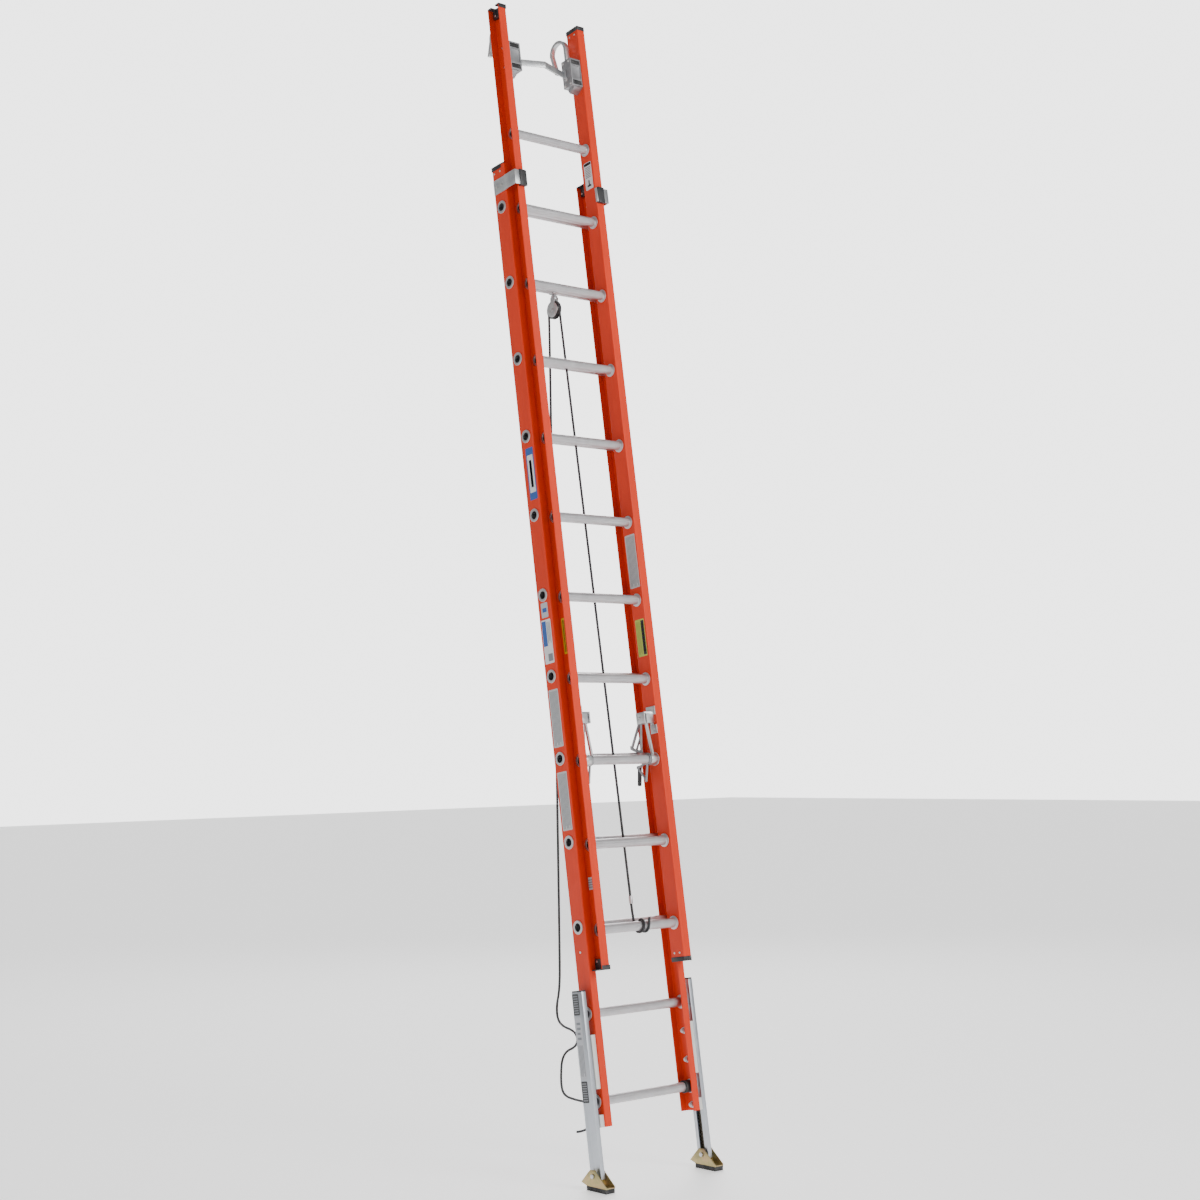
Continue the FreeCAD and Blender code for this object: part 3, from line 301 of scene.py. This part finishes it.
# moulded plastic or rubber: fine texture, paler where it is rubbed
def moulded(name, colour, rough, grainSize, worn=0.15, strength=0.3):
    finish = Finish(name)
    leather = finish.grain((grainSize, grainSize, grainSize), 2.0)
    cloud = finish.grain((26, 26, 26), 4.0)
    finish.feed(Base_Color=finish.mix(cloud.between(0.45, 0.75) * worn, shade(colour, 1.0),
                                      (0.30, 0.29, 0.28, 1)),
                Roughness=rough + leather.between(0.3, 0.7) * 0.12)
    return finish.bump(leather, strength, 0.0004).material


def ropeFibre():
    finish = Finish("rope_fibre", Sheen_Weight=0.35, Sheen_Roughness=0.4)
    yarn = finish.grain((2600, 2600, 2600), 2.0)
    cloud = finish.grain((60, 60, 12), 3.0)
    finish.feed(Base_Color=finish.mix(yarn.between(0.35, 0.7) * 0.7 + cloud.between(0.4, 0.7) * 0.3,
                                      (0.012, 0.012, 0.014, 1), (0.060, 0.060, 0.066, 1)),
                Roughness=0.72 + yarn * 0.2)
    return finish.bump(yarn, 0.5, 0.0004).material


def printed(name, colour, rough=0.35, worn=0.12):
    finish = Finish(name)
    cloud = finish.grain((70, 70, 70), 4.0)
    finish.feed(Base_Color=finish.mix(cloud.between(0.5, 0.72) * worn, shade(colour, 1.0),
                                      shade(colour, 0.55)),
                Roughness=rough + cloud * 0.1)
    return finish.bump(cloud, 0.08, 0.0002).material


silverTints = [(0.30, (0.46, 0.48, 0.52)), (0.55, (0.64, 0.64, 0.63)), (0.75, (0.54, 0.56, 0.52))]
goldTints = [(0.28, (0.52, 0.28, 0.20)), (0.48, (0.50, 0.38, 0.15)), (0.62, (0.34, 0.34, 0.14)),
             (0.78, (0.52, 0.34, 0.26))]
finishes = {
    "fibreglass": fibreglass(),
    "rung_aluminium": drawnMetal("rung_aluminium", (0.60, 0.59, 0.60), (4, 700, 700), 0.38),
    "leg_aluminium": drawnMetal("leg_aluminium", (0.52, 0.55, 0.59), (700, 700, 4), 0.42),
    "zinc_steel": platedMetal("zinc_steel", (0.56, 0.57, 0.58), silverTints, 0.32),
    "cast_metal": castMetal(),
    "rivet_steel": platedMetal("rivet_steel", (0.70, 0.66, 0.62), silverTints, 0.28),
    "gold_zinc": platedMetal("gold_zinc", (0.46, 0.38, 0.22), goldTints, 0.34),
    "dark_steel": drawnMetal("dark_steel", (0.11, 0.095, 0.07), (60, 60, 60), 0.45, 0.85),
    "black_plastic": moulded("black_plastic", (0.016, 0.016, 0.018), 0.40, 1400),
    "pale_plastic": moulded("pale_plastic", (0.66, 0.66, 0.63), 0.38, 900, 0.05),
    "black_rubber": moulded("black_rubber", (0.018, 0.018, 0.019), 0.62, 1100, 0.22, 0.45),
    "rope_fibre": ropeFibre()}
inks = {
    "white": printed("label_white", (0.70, 0.71, 0.73)),
    "grey": printed("label_grey", (0.20, 0.21, 0.23)),
    "blue": printed("label_blue", (0.03, 0.10, 0.36)),
    "yellow": printed("label_yellow", (0.60, 0.42, 0.02)),
    "green": printed("label_green", (0.42, 0.52, 0.08)),
    "ink": printed("label_ink", (0.02, 0.02, 0.022)),
    "silver": printed("label_silver", (0.46, 0.47, 0.50), 0.30),
    "pale": printed("label_pale", (0.50, 0.50, 0.50)),
    "coal": printed("label_coal", (0.035, 0.037, 0.040)),
    "olive": printed("label_olive", (0.26, 0.30, 0.05)),
    "orange": printed("label_orange", (0.70, 0.16, 0.02))}
slotOf = {part["node"]: part["material_slot"] for part in frame["record"]["subparts"]}
bodyOf = {node: body for body, nodes in frame["record"]["behaviour"]["bodies"].items() for node in nodes}
for node, thing in frame["nodes"].items():
    thing.data.materials.clear()
    thing.data.materials.append(finishes[slotOf[node]])
print("finishes made")

# floor
floorSpec = {"half": 40.0, "colour": (0.92, 0.92, 0.92), "glow": 0.55}


def addFloor():
    half = floorSpec["half"]
    mesh = bmesh.new()
    mesh.faces.new([mesh.verts.new((x, y, 0)) for x, y in
                    ((-half, -half), (half, -half), (half, half), (-half, half))])
    data = bpy.data.meshes.new("floor")
    mesh.to_mesh(data)
    mesh.free()
    floor = bpy.data.objects.new("floor", data)
    bpy.context.scene.collection.objects.link(floor)
    finish = Finish("floor", Roughness=0.55, Emission_Color=(1, 1, 1, 1),
                    Emission_Strength=floorSpec["glow"])
    dust = finish.grain((2, 2, 2), 2.0)
    finish.feed(Base_Color=finish.mix(dust, shade(floorSpec["colour"], 0.985),
                                      shade(floorSpec["colour"], 1.015)))
    data.materials.append(finish.material)


addFloor()


# pieces: every one is a mesh that ends up in the row's frame
def smooth(mesh, sharp=35):
    limit = math.radians(sharp)
    for face in mesh.faces:
        face.smooth = True
    for edge in mesh.edges:
        edge.smooth = len(edge.link_faces) == 2 and edge.calc_face_angle(0) < limit


def addPiece(name, mesh, body, slot, materials=None, replaces=(), place=None, sharp=35):
    if place is not None:
        mesh.transform(place)
    bmesh.ops.recalc_face_normals(mesh, faces=mesh.faces)
    smooth(mesh, sharp)
    data = bpy.data.meshes.new(name)
    mesh.to_mesh(data)
    mesh.free()
    piece = bpy.data.objects.new(name, data)
    bpy.context.scene.collection.objects.link(piece)
    for material in materials or [finishes[slot]]:
        data.materials.append(material)
    if body:
        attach(piece, body)
    if replaces:
        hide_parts(*replaces)
    return piece


def ring(mesh, centre, across, up, radii):
    count = len(radii)
    return [mesh.verts.new(centre + (across * math.cos(2 * math.pi * i / count)
                                     + up * math.sin(2 * math.pi * i / count)) * radius)
            for i, radius in enumerate(radii)]


def join(mesh, first, second, material=0):
    count = len(first)
    for i in range(count):
        face = mesh.faces.new((first[i], first[(i + 1) % count], second[(i + 1) % count], second[i]))
        face.material_index = material


def turned(mesh, start, axis, profile, count=32):
    # profile holds (distance along the axis, radius); a radius of 0 closes an end
    axis = axis.normalized()
    across = axis.orthogonal().normalized()
    up = axis.cross(across)
    last = None
    for along, radius in profile:
        here = ring(mesh, start + axis * along, across, up, [max(radius, 1e-5)] * count)
        if last:
            join(mesh, last, here)
        last = here


def slab(mesh, low, high):
    corners = [mesh.verts.new((x, y, z)) for x in (low[0], high[0]) for y in (low[1], high[1])
               for z in (low[2], high[2])]
    for indices in ((0, 1, 3, 2), (4, 6, 7, 5), (0, 4, 5, 1), (2, 3, 7, 6), (0, 2, 6, 4), (1, 5, 7, 3)):
        mesh.faces.new([corners[i] for i in indices])


# a CAD piece with its edges rounded over
def rounded(node, width, segments=2, sharp=30):
    mesh = bmesh.new()
    mesh.from_mesh(frame["nodes"][node].data)
    bmesh.ops.remove_doubles(mesh, verts=mesh.verts, dist=1e-6)
    bmesh.ops.dissolve_limit(mesh, angle_limit=math.radians(0.5), verts=mesh.verts, edges=mesh.edges)
    edges = [edge for edge in mesh.edges if len(edge.link_faces) == 2
             and edge.calc_face_angle(0) > math.radians(sharp)]
    bmesh.ops.bevel(mesh, geom=edges, offset=width, offset_type="OFFSET", segments=segments,
                    profile=0.5, affect="EDGES", clamp_overlap=True)
    return addPiece(node + "_finished", mesh, bodyOf[node], slotOf[node], replaces=(node,), sharp=40)


# rungs: fluted tube, swaged bead each side of the web, open bore
rungLook = {"ribs": 30, "fluteDepth": 0.0007, "plainEnd": 0.006}


def rungProfile(half, wall):
    # (x, radius, fluted) from the outer end of the tube to its middle
    bead, thick, tube = ladder["beadRadius"], ladder["beadThick"], ladder["rungRadius"]
    outer, inner = half + thick, half - wall
    soft = 0.0011
    return [(outer - 0.0004, ladder["rungBore"], 0), (outer, ladder["rungBore"] + 0.0004, 0),
            (outer, bead - soft, 0), (outer - soft * 0.35, bead - soft * 0.35, 0), (outer - soft, bead, 0),
            (half + 0.00005, bead, 0), (half + 0.00005, tube - 0.0001, 0),
            (inner - 0.00005, tube - 0.0001, 0), (inner - 0.00005, bead, 0),
            (inner - thick + soft, bead, 0),
            (inner - thick + soft * 0.35, bead - soft * 0.35, 0), (inner - thick, bead - soft, 0),
            (inner - thick - 0.0004, tube + 0.0012, 0), (inner - thick - 0.002, tube, 0),
            (inner - thick - rungLook["plainEnd"], tube, 0),
            (inner - thick - rungLook["plainEnd"] - 0.003, tube, 1)]


def addRung(mesh, y, z, half, wall):
    stations = rungProfile(half, wall)
    stations += [(-x, radius, fluted) for x, radius, fluted in reversed(stations)]
    count = rungLook["ribs"] * 4
    rings = []
    for x, radius, fluted in stations:
        radii = [radius - (rungLook["fluteDepth"] if fluted and i % 4 == 0 else 0.0) for i in range(count)]
        rings.append(ring(mesh, Vector((x, y, z)), Vector((0, 1, 0)), Vector((0, 0, 1)), radii))
    for first, second in zip(rings, rings[1:]):
        join(mesh, first, second)
    join(mesh, rings[-1], rings[0])


def addRungs():
    kinds = (("base", ladder["baseRungs"], baseRungZ, 0.0, ladder["baseHalf"], ladder["baseWall"]),
             ("fly", ladder["flyRungs"], flyRungZ, -ladder["flyForward"],
              ladder["flyHalf"] + ladder["flyWall"], ladder["flyWall"]))
    for kind, total, height, y, half, wall in kinds:
        for first in range(1, total + 1, 3):
            last = min(first + 2, total)
            mesh = bmesh.new()
            for n in range(first, last + 1):
                addRung(mesh, y, height(n), half, wall)
            node = "%s_rungs_%02d_%02d" % (kind, first, last)
            addPiece(node + "_ribbed", mesh, kind, slotOf[node], replaces=(node,), place=toRow, sharp=24)


addRungs()
print("rungs made")

# edges rounded over, in metres
edgeWidths = {
    "base_top_caps": 0.0022, "fly_top_caps": 0.0022, "fly_foot_caps": 0.0022, "guide_brackets": 0.0009,
    "guide_pads": 0.0010, "pulley_clamp": 0.0012, "pulley_block": 0.0006, "pulley_sheave": 0.0006,
    "pulley_pins": 0.0006, "rope_ferrule": 0.0012, "lock_pins": 0.0008, "rung_sleeves": 0.0015,
    "leveler_bolts": 0.0006, "base_rivets": 0.0009, "fly_rivets": 0.0009}
for side, sign in sides:
    edgeWidths.update({
        "leg_" + side: 0.0007, "leg_cap_" + side: 0.0016, "shoe_" + side: 0.0007,
        "shoe_pin_" + side: 0.0008, "leveler_guide_" + side: 0.0010, "leveler_pawl_" + side: 0.0006,
        "hook_block_" + side: 0.0020, "cable_hook_" + side: 0.0034, "lock_bracket_" + side: 0.0008,
        "lock_hook_" + side: 0.0010, "lock_lever_" + side: 0.0010, "lock_finger_" + side: 0.0018,
        "shoe_pad_" + side: 0.0008, "leg_rack_" + side: 0.0003})
edgeWidths["v_rung"] = 0.0007
edgeWidths["v_rung_grip"] = 0.0010
for node, width in edgeWidths.items():
    rounded(node, width, 3 if width > 0.0018 or "rivets" in node else 2)
print("edges rounded")


# rope: the same routes as the solids, on one smooth line each
ropeLook = {"radius": 0.00475, "strands": 8, "twist": 0.030, "depth": 0.06, "around": 16, "step": 0.0026}
hang = [
    (-0.0136, 0.4530, 2.400), (-0.0130, 0.4534, 1.650), (-0.0136, 0.4528, 1.100), (-0.0140, 0.4530, 0.760),
    (-0.0160, 0.4530, 0.640), (-0.0340, 0.4560, 0.560), (-0.0140, 0.4610, 0.500), (0.0660, 0.4580, 0.468),
    (0.0660, 0.4480, 0.416), (-0.0160, 0.4440, 0.398), (-0.0220, 0.4500, 0.300), (-0.0060, 0.4560, 0.238),
    (0.0600, 0.4590, 0.212), (0.1120, 0.4550, 0.198), (0.1340, 0.4500, 0.146), (0.1120, 0.4470, 0.092),
    (0.0540, 0.4500, 0.095)]
sheave = fromRow @ middleOf("pulley_sheave")
sheavePitch = 0.031
wrapAngle = math.pi + leanAngle
wrapCorners = 3


def onSheave(angle, reach):
    return toRow @ Vector((sheave.x, sheave.y + reach * math.cos(angle),
                           sheave.z + reach * math.sin(angle)))


frontTangent = onSheave(math.pi, sheavePitch)
rearTangent = onSheave(math.pi - wrapAngle, sheavePitch)
freeRoute = [frontTangent]
for corner in range(wrapCorners):
    freeRoute.append(onSheave(math.pi - wrapAngle * (corner + 0.5) / wrapCorners,
                              sheavePitch / math.cos(wrapAngle / wrapCorners / 2)))
freeRoute.append(rearTangent + Vector((0, 0, -0.0195)))
freeRoute += [Vector((x, rungOne.y + y, height)) for x, y, height in hang]


def lineOf(name, route):
    curve = bpy.data.curves.new(name, "CURVE")
    curve.dimensions = "3D"
    spline = curve.splines.new("NURBS")
    spline.points.add(len(route) - 1)
    for point, place in zip(spline.points, route):
        point.co = (*place, 1)
    spline.order_u = min(3, len(route))
    spline.use_endpoint_u = True
    spline.resolution_u = 48
    thing = bpy.data.objects.new(name, curve)
    points = [vertex.co.copy() for vertex in bpy.data.meshes.new_from_object(thing).vertices]
    bpy.data.objects.remove(thing)
    return points


def evenly(points, step):
    total = sum((b - a).length for a, b in zip(points, points[1:]))
    count = max(2, round(total / step))
    result, index, walked = [points[0]], 0, 0.0
    for i in range(1, count):
        target = total * i / count
        while walked + (points[index + 1] - points[index]).length < target:
            walked += (points[index + 1] - points[index]).length
            index += 1
        part = (target - walked) / (points[index + 1] - points[index]).length
        result.append(points[index].lerp(points[index + 1], part))
    return result + [points[-1]], total


def braid(mesh, line, radius):
    across = (line[1] - line[0]).orthogonal().normalized()
    count, last, walked = ropeLook["around"], None, 0.0
    for i, point in enumerate(line):
        ahead = (line[min(i + 1, len(line) - 1)] - line[max(i - 1, 0)]).normalized()
        across = (across - ahead * across.dot(ahead)).normalized()
        up = ahead.cross(across)
        if i:
            walked += (point - line[i - 1]).length
        lay = 2 * math.pi * walked / ropeLook["twist"]
        radii = []
        for k in range(count):
            angle = 2 * math.pi * k / count
            weave = math.cos(angle * ropeLook["strands"] / 2 + lay) * math.cos(
                angle * ropeLook["strands"] / 2 - lay)
            radii.append(radius * (1 - ropeLook["depth"] / 2 + ropeLook["depth"] / 2 * weave))
        here = ring(mesh, point, across, up, radii)
        if last:
            join(mesh, last, here)
        else:
            mesh.faces.new(list(reversed(here)))
        last = here
    mesh.faces.new(last)


def addRope(name, route, body, node, **facts):
    line, length = evenly(lineOf(name, route), ropeLook["step"])
    mesh = bmesh.new()
    braid(mesh, line, ropeLook["radius"])
    rope = addPiece(name, mesh, body, "rope_fibre", replaces=(node,), sharp=60)
    if body is None:
        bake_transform(rope)
    print(name, "is", round(length, 3), "m")


addRope("free_rope", freeRoute, "base", "rope_free", far_end="bare", lay="hanging")
ferruleLow, ferruleHigh = (fromRow @ Vector(corner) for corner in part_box("rope_ferrule"))
tieLook = {"corners": 9, "step": math.radians(60), "advance": 0.0043, "tail": 0.040, "top": 0.083,
           "ferrule": 0.028, "clearance": 0.0001}
tieX = (ferruleLow.x + ferruleHigh.x) / 2
tieReach = ladder["rungRadius"] + ropeLook["radius"] + tieLook["clearance"]
tieY = tieReach - ladder["flyForward"]
tieTop = flyRungZ(1) + tieLook["top"]
ferruleTop = tieTop + tieLook["ferrule"]
addRope("hauling_rope", [frontTangent, toRow @ Vector((tieX, tieY, ferruleTop))], None,
        "rope_hauling", far_end="object", lay="taut")
tieRoute = [Vector((tieX, tieY, tieTop))]
for corner in range(tieLook["corners"]):
    angle = -tieLook["step"] * (corner + 0.5)
    reach = tieReach / math.cos(tieLook["step"] / 2)
    tieRoute.append(Vector((tieX + tieLook["advance"] * (corner + 0.5),
                            reach * math.cos(angle) - ladder["flyForward"],
                            flyRungZ(1) + reach * math.sin(angle))))
tieRoute.append(tieRoute[-1] + Vector((tieLook["advance"], 0, tieLook["tail"])))
addRope("rope_tie_turns", [toRow @ point for point in tieRoute], "fly", "rope_tie", far_end="bare",
        lay="loose")
print("rope made")


# labels: printed sheets with plain bars in place of words
labelLook = {"thick": 0.00028, "ink": 0.00008, "corner": 0.004}


def panel(low, high, corner, steps=5):
    points = []
    left, right, bottom, top = low[0] + corner, high[0] - corner, low[1] + corner, high[1] - corner
    for turn, (y, z) in enumerate(((right, top), (left, top), (left, bottom), (right, bottom))):
        for i in range(steps + 1):
            angle = math.pi / 2 * (turn + i / steps)
            points.append((y + corner * math.cos(angle), z + corner * math.sin(angle)))
    return points


def sheetOf(mesh, points, x, rise, material):
    back = [mesh.verts.new((x, y, z)) for y, z in points]
    front = [mesh.verts.new((x + rise, y, z)) for y, z in points]
    mesh.faces.new(front).material_index = material
    mesh.faces.new(list(reversed(back))).material_index = material
    join(mesh, back, front, material)


def addLabel(name, body, x, middle, size, colours, marks):
    # marks hold (ink number, low, high) as shares of the sheet; the sheet faces the ladder's left
    mesh = bmesh.new()
    low = (middle[0] - size[0] / 2, middle[1] - size[1] / 2)
    high = (middle[0] + size[0] / 2, middle[1] + size[1] / 2)
    sheetOf(mesh, panel(low, high, labelLook["corner"]), x, -labelLook["thick"], 0)
    for ink, start, end in marks:
        first = (low[0] + start[0] * size[0], low[1] + start[1] * size[1])
        last = (low[0] + end[0] * size[0], low[1] + end[1] * size[1])
        corner = min(0.0015, (last[0] - first[0]) * 0.3, (last[1] - first[1]) * 0.3)
        sheetOf(mesh, panel(first, last, corner, 3), x - labelLook["thick"], -labelLook["ink"], ink)
    addPiece(name, mesh, body, "pale_plastic", [inks[colour] for colour in colours], place=toRow)


def bars(ink, low, high, count, ragged=0.0):
    step = (high[1] - low[1]) / count
    return [(ink, (low[0] + (ragged if i % 3 == 1 else 0), low[1] + step * (i + 0.22)),
             (high[0], low[1] + step * (i + 0.72))) for i in range(count)]


def columns(ink, low, high, count):
    step = (high[0] - low[0]) / count
    return [(ink, (low[0] + step * (i + 0.22), low[1] + (0.05 if i % 3 == 1 else 0)),
             (low[0] + step * (i + 0.70), high[1])) for i in range(count)]


baseFace, flyFace, flyInside, legFace = -ladder["baseHalf"], ladder["flyHalf"], -0.1845, -0.268


def addLabels():
    addLabel("base_label_band", "base", baseFace, (-0.008, 2.292), (0.044, 0.200),
             ("blue", "white", "silver"),
             [(1, (0.12, 0.14), (0.88, 0.86)), (2, (0.34, 0.24), (0.66, 0.76))])
    addLabel("base_label_small", "base", baseFace, (0.0, 1.772), (0.038, 0.056), ("silver", "blue"),
             [(1, (0.18, 0.36), (0.82, 0.64))])
    addLabel("base_label_split", "base", baseFace, (0.0, 1.654), (0.052, 0.164), ("white", "blue", "grey"),
             [(1, (0.52, 0.40), (0.97, 0.97)), (2, (0.10, 0.05), (0.60, 0.22))]
             + columns(2, (0.08, 0.45), (0.48, 0.94), 3))
    for index, z in enumerate((1.3685, 1.0645)):
        addLabel("base_label_grey_%d" % index, "base", baseFace, (0.0, z), (0.054, 0.213), ("pale", "grey"),
                 columns(1, (0.08, 0.03), (0.92, 0.97), 7))
    addLabel("fly_label_top", "fly", flyFace, (-0.062, 3.533), (0.044, 0.112),
             ("white", "ink", "orange", "grey"),
             [(1, (0.04, 0.88), (0.96, 0.98)), (2, (0.30, 0.90), (0.70, 0.96)),
              (1, (0.42, 0.16), (0.58, 0.34)), (1, (0.24, 0.10), (0.76, 0.17))]
             + bars(3, (0.12, 0.42), (0.88, 0.84), 7, 0.06))
    addLabel("fly_label_grey", "fly", flyFace, (-0.060, 1.964), (0.056, 0.208), ("pale", "grey"),
             columns(1, (0.08, 0.03), (0.92, 0.97), 7))
    addLabel("fly_label_yellow", "fly", flyFace, (-0.061, 1.666), (0.050, 0.143), ("green", "ink", "olive"),
             [(1, (0.06, 0.04), (0.40, 0.96))] + bars(0, (0.14, 0.10), (0.32, 0.90), 8)
             + columns(2, (0.48, 0.06), (0.94, 0.94), 4))
    addLabel("fly_label_channel", "fly", flyInside, (-0.056, 1.667), (0.040, 0.134), ("yellow", "ink"),
             columns(1, (0.10, 0.05), (0.90, 0.95), 4))
    addLabel("fly_label_silver", "fly", flyInside, (-0.047, 0.760), (0.040, 0.045), ("silver", "grey"),
             bars(1, (0.10, 0.12), (0.90, 0.88), 4))
    for index, z in enumerate((0.3405, 0.037)):
        addLabel("leg_label_dark_%d" % index, "leg_left", legFace, (0.010, z), (0.034, 0.075),
                 ("coal", "grey"), bars(1, (0.12, 0.06), (0.88, 0.94), 8, 0.05))
    addLabel("leg_label_pale", "leg_left", legFace, (0.008, 0.188), (0.036, 0.216), ("silver", "grey"),
             bars(1, (0.22, 0.62), (0.78, 0.94), 4, 0.08) + columns(1, (0.12, 0.05), (0.88, 0.55), 4))


addLabels()
print("labels made")

# trim on the cable hook blocks: screws on the inner face, rubber strips in the front recesses
trim = {"screw": 0.0052, "proud": 0.0022, "inset": 0.010, "stripX": (0.1345, 0.1745), "stripProud": 0.0015,
        "strips": ((0.0075, 0.0225), (0.0935, 0.1075)), "blockHeight": 0.115, "ribs": 5, "ribGap": 0.0012}


def dome(mesh, start, axis, radius, height, count=20):
    turned(mesh, start, axis, [(-0.0004, 0), (-0.0004, radius), (height * 0.45, radius),
                               (height * 0.80, radius * 0.86), (height, radius * 0.55),
                               (height, 0.0)], count)


def addBlockTrim():
    for side, sign in sides:
        corners = [fromRow @ vertex.co for vertex in frame["nodes"]["hook_block_" + side].data.vertices]
        inner = min(abs(point.x) for point in corners)
        front, rear = min(point.y for point in corners), max(point.y for point in corners)
        top = max(point.z for point in corners)
        bottom = top - trim["blockHeight"]
        mesh = bmesh.new()
        for y in (front + trim["inset"], rear - trim["inset"]):
            for z in (bottom + trim["inset"], top - trim["inset"]):
                dome(mesh, Vector((sign * inner, y, z)), Vector((-sign, 0, 0)), trim["screw"],
                     trim["proud"])
        dome(mesh, Vector((sign * inner, rear - 0.020, (top + bottom) / 2 - 0.022)), Vector((-sign, 0, 0)),
             trim["screw"] * 1.5, trim["proud"])
        addPiece("hook_block_screws_" + side, mesh, "fly", "rivet_steel", place=toRow)
        mesh = bmesh.new()
        for low, high in trim["strips"]:
            for rib in range(trim["ribs"]):
                start = trim["stripX"][0] + (trim["stripX"][1] - trim["stripX"][0]) * rib / trim["ribs"]
                end = start + (trim["stripX"][1] - trim["stripX"][0]) / trim["ribs"] - trim["ribGap"]
                xs = sorted((sign * start, sign * end))
                slab(mesh, (xs[0], front - trim["stripProud"], bottom + low),
                     (xs[1], front + 0.0028, bottom + high))
            xs = sorted((sign * trim["stripX"][0], sign * (trim["stripX"][1] - trim["ribGap"])))
            slab(mesh, (xs[0] + 0.0002, front - 0.0003, bottom + low + 0.0004),
                 (xs[1] - 0.0002, front + 0.0027, bottom + high - 0.0004))
        bmesh.ops.bevel(mesh, geom=list(mesh.edges), offset=0.0005, segments=2, profile=0.5, affect="EDGES",
                        clamp_overlap=True)
        addPiece("hook_block_strips_" + side, mesh, "fly", "black_rubber", place=toRow)


addBlockTrim()
print("block trim made")
